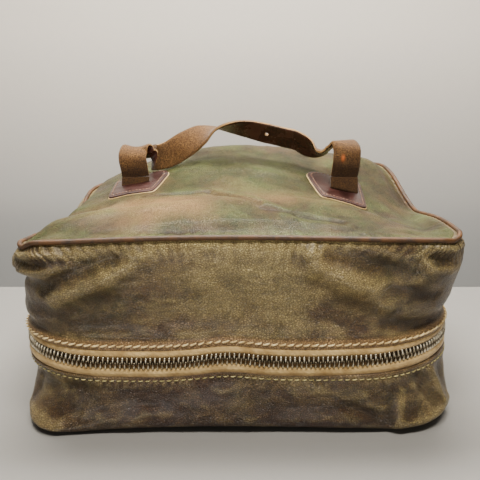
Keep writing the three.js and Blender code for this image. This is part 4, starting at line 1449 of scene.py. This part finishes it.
def strap_ends():
    """The short tongues that come up out of the patches and carry the strap."""
    for name, side in (("right", 1), ("left", -1)):
        x0 = side * ROOT_X
        foot, normal = on_panel(np.array([x0]), np.array([ROOT_Y]), 2.2)
        foot, normal = foot[0], normal[0]
        top = np.array([x0, ROOT_Y, 213.4])
        rows = []
        for t, deep, wide in TONGUE:
            middle = foot + (top - foot) * t
            tilt = (1 - t) * (normal[0] / normal[2])
            flat = rounded(wide, deep, 0.9 * deep * 0.6, steps=4)
            rows.append([tuple(middle + np.array([u, v, -tilt * u])) for u, v in flat])
        points, faces = lofted(rows)
        piece = face_outwards(make_mesh(f"strap_root_{name}", points, faces, SUEDE))
        # tone: the tongues are painted dark all over as painted shade where they rise out of the patches
        paint(piece, "tone", np.full(len(points), -0.95))
        paint(piece, "tan", np.zeros(len(points)))
        place(piece, "lid", "strap_leather", f"handle_end_{name}")


# ------------------------------------------------------------------ build
wall_pieces()
gusset()
zip_halves()
zip_stitching()
top_panel()
piping()
base()
linings()
slider()
end_tabs()
patches()
strap()
strap_ends()


# ------------------------------------------------------------------ table, backdrop, light and camera
def flat_look(name, colour, roughness, speckle, painted_shade_colour=None, low=0.0, high=1.0):
    """A plain surface, faintly uneven, and darker towards painted_shade_colour at its lower part if that is
    given: painted shade.
    """
    look = Look(name, Specular_IOR_Level=0.3)
    grains = look.noise(60, 3, 0.6)
    tone = linear(colour)
    if painted_shade_colour:
        height = look.add("ShaderNodeSeparateXYZ", Vector=look.position).outputs["Z"]
        tone = look.blend(look.span(height, high, low), tone, linear(painted_shade_colour))
    tone = look.blend(look.span(grains, 0.3, 0.7, 0, speckle), tone, linear("8C8C8C"))
    return look.finish(tone, roughness)


def slab(name, corners, material):
    piece = make_mesh(name, corners, [(0, 1, 2, 3)], material, smooth_faces=False)
    return piece


def area_light(name, place_at, target, size, power, colour=(1, 1, 1)):
    data = bpy.data.lights.new(name, "AREA")
    data.shape, data.size, data.size_y = "RECTANGLE", size[0], size[1]
    data.energy, data.color = power, colour
    light = bpy.data.objects.new(name, data)
    bpy.context.scene.collection.objects.link(light)
    light.location = place_at
    light.rotation_euler = (Vector(target) - Vector(place_at)).to_track_quat("-Z", "Y").to_euler()


TABLE = flat_look("table", "868480", 0.7, 0.1)
# the backdrop is painted darker towards its foot: painted shade in place of the light falling off
BACKDROP = flat_look("backdrop", "DCD5CB", 0.95, 0.04, "AAAAA8", -0.15, 0.36)
FAR_EDGE = 241.0  # the table ends this far behind the middle of the bag
NEAR, WIDE = -3000, 3000
slab("table_top", [(-WIDE, NEAR, 0), (WIDE, NEAR, 0), (WIDE, FAR_EDGE, 0), (-WIDE, FAR_EDGE, 0)], TABLE)
WALL_Y = 900
corners = (-6000, -2500), (6000, -2500), (6000, 4000), (-6000, 4000)
slab("back_wall", [(x, WALL_Y, z) for x, z in corners], BACKDROP)

world = bpy.data.worlds.new("studio")
world.use_nodes = True
world.node_tree.nodes["Background"].inputs["Color"].default_value = (1.0, 0.97, 0.93, 1)
world.node_tree.nodes["Background"].inputs["Strength"].default_value = 0.05
bpy.context.scene.world = world
WARM = (1.0, 0.95, 0.87)
# Each light: place, target, size in metres and power in watts.
area_light("overhead", (-0.05, 0.2, 1.25), (0, 0.0, 0.1), (1.0, 0.36), 42, WARM)
area_light("low_front", (-0.3, -1.9, 0.12), (0, -0.1, 0.13), (1.1, 0.18), 12, WARM)
area_light("high_front", (0.1, -0.6, 1.25), (0, -0.12, 0.1), (0.8, 0.25), 23, WARM)
area_light("wall_wash", (0, 0.2, 1.3), (0, 0.9, 0.75), (2.2, 0.3), 12, WARM)

camera_data = bpy.data.cameras.new("camera")
camera_data.sensor_width, camera_data.lens = 36.0, 52.5
camera_data.clip_start, camera_data.clip_end = 0.05, 20
camera = bpy.data.objects.new("camera", camera_data)
bpy.context.scene.collection.objects.link(camera)
CAMERA_DOWN = 16  # degrees the camera looks down
camera.location = (0, -0.718, 0.346)
camera.rotation_euler = (math.radians(90 - CAMERA_DOWN), 0, 0)
bpy.context.scene.camera = camera
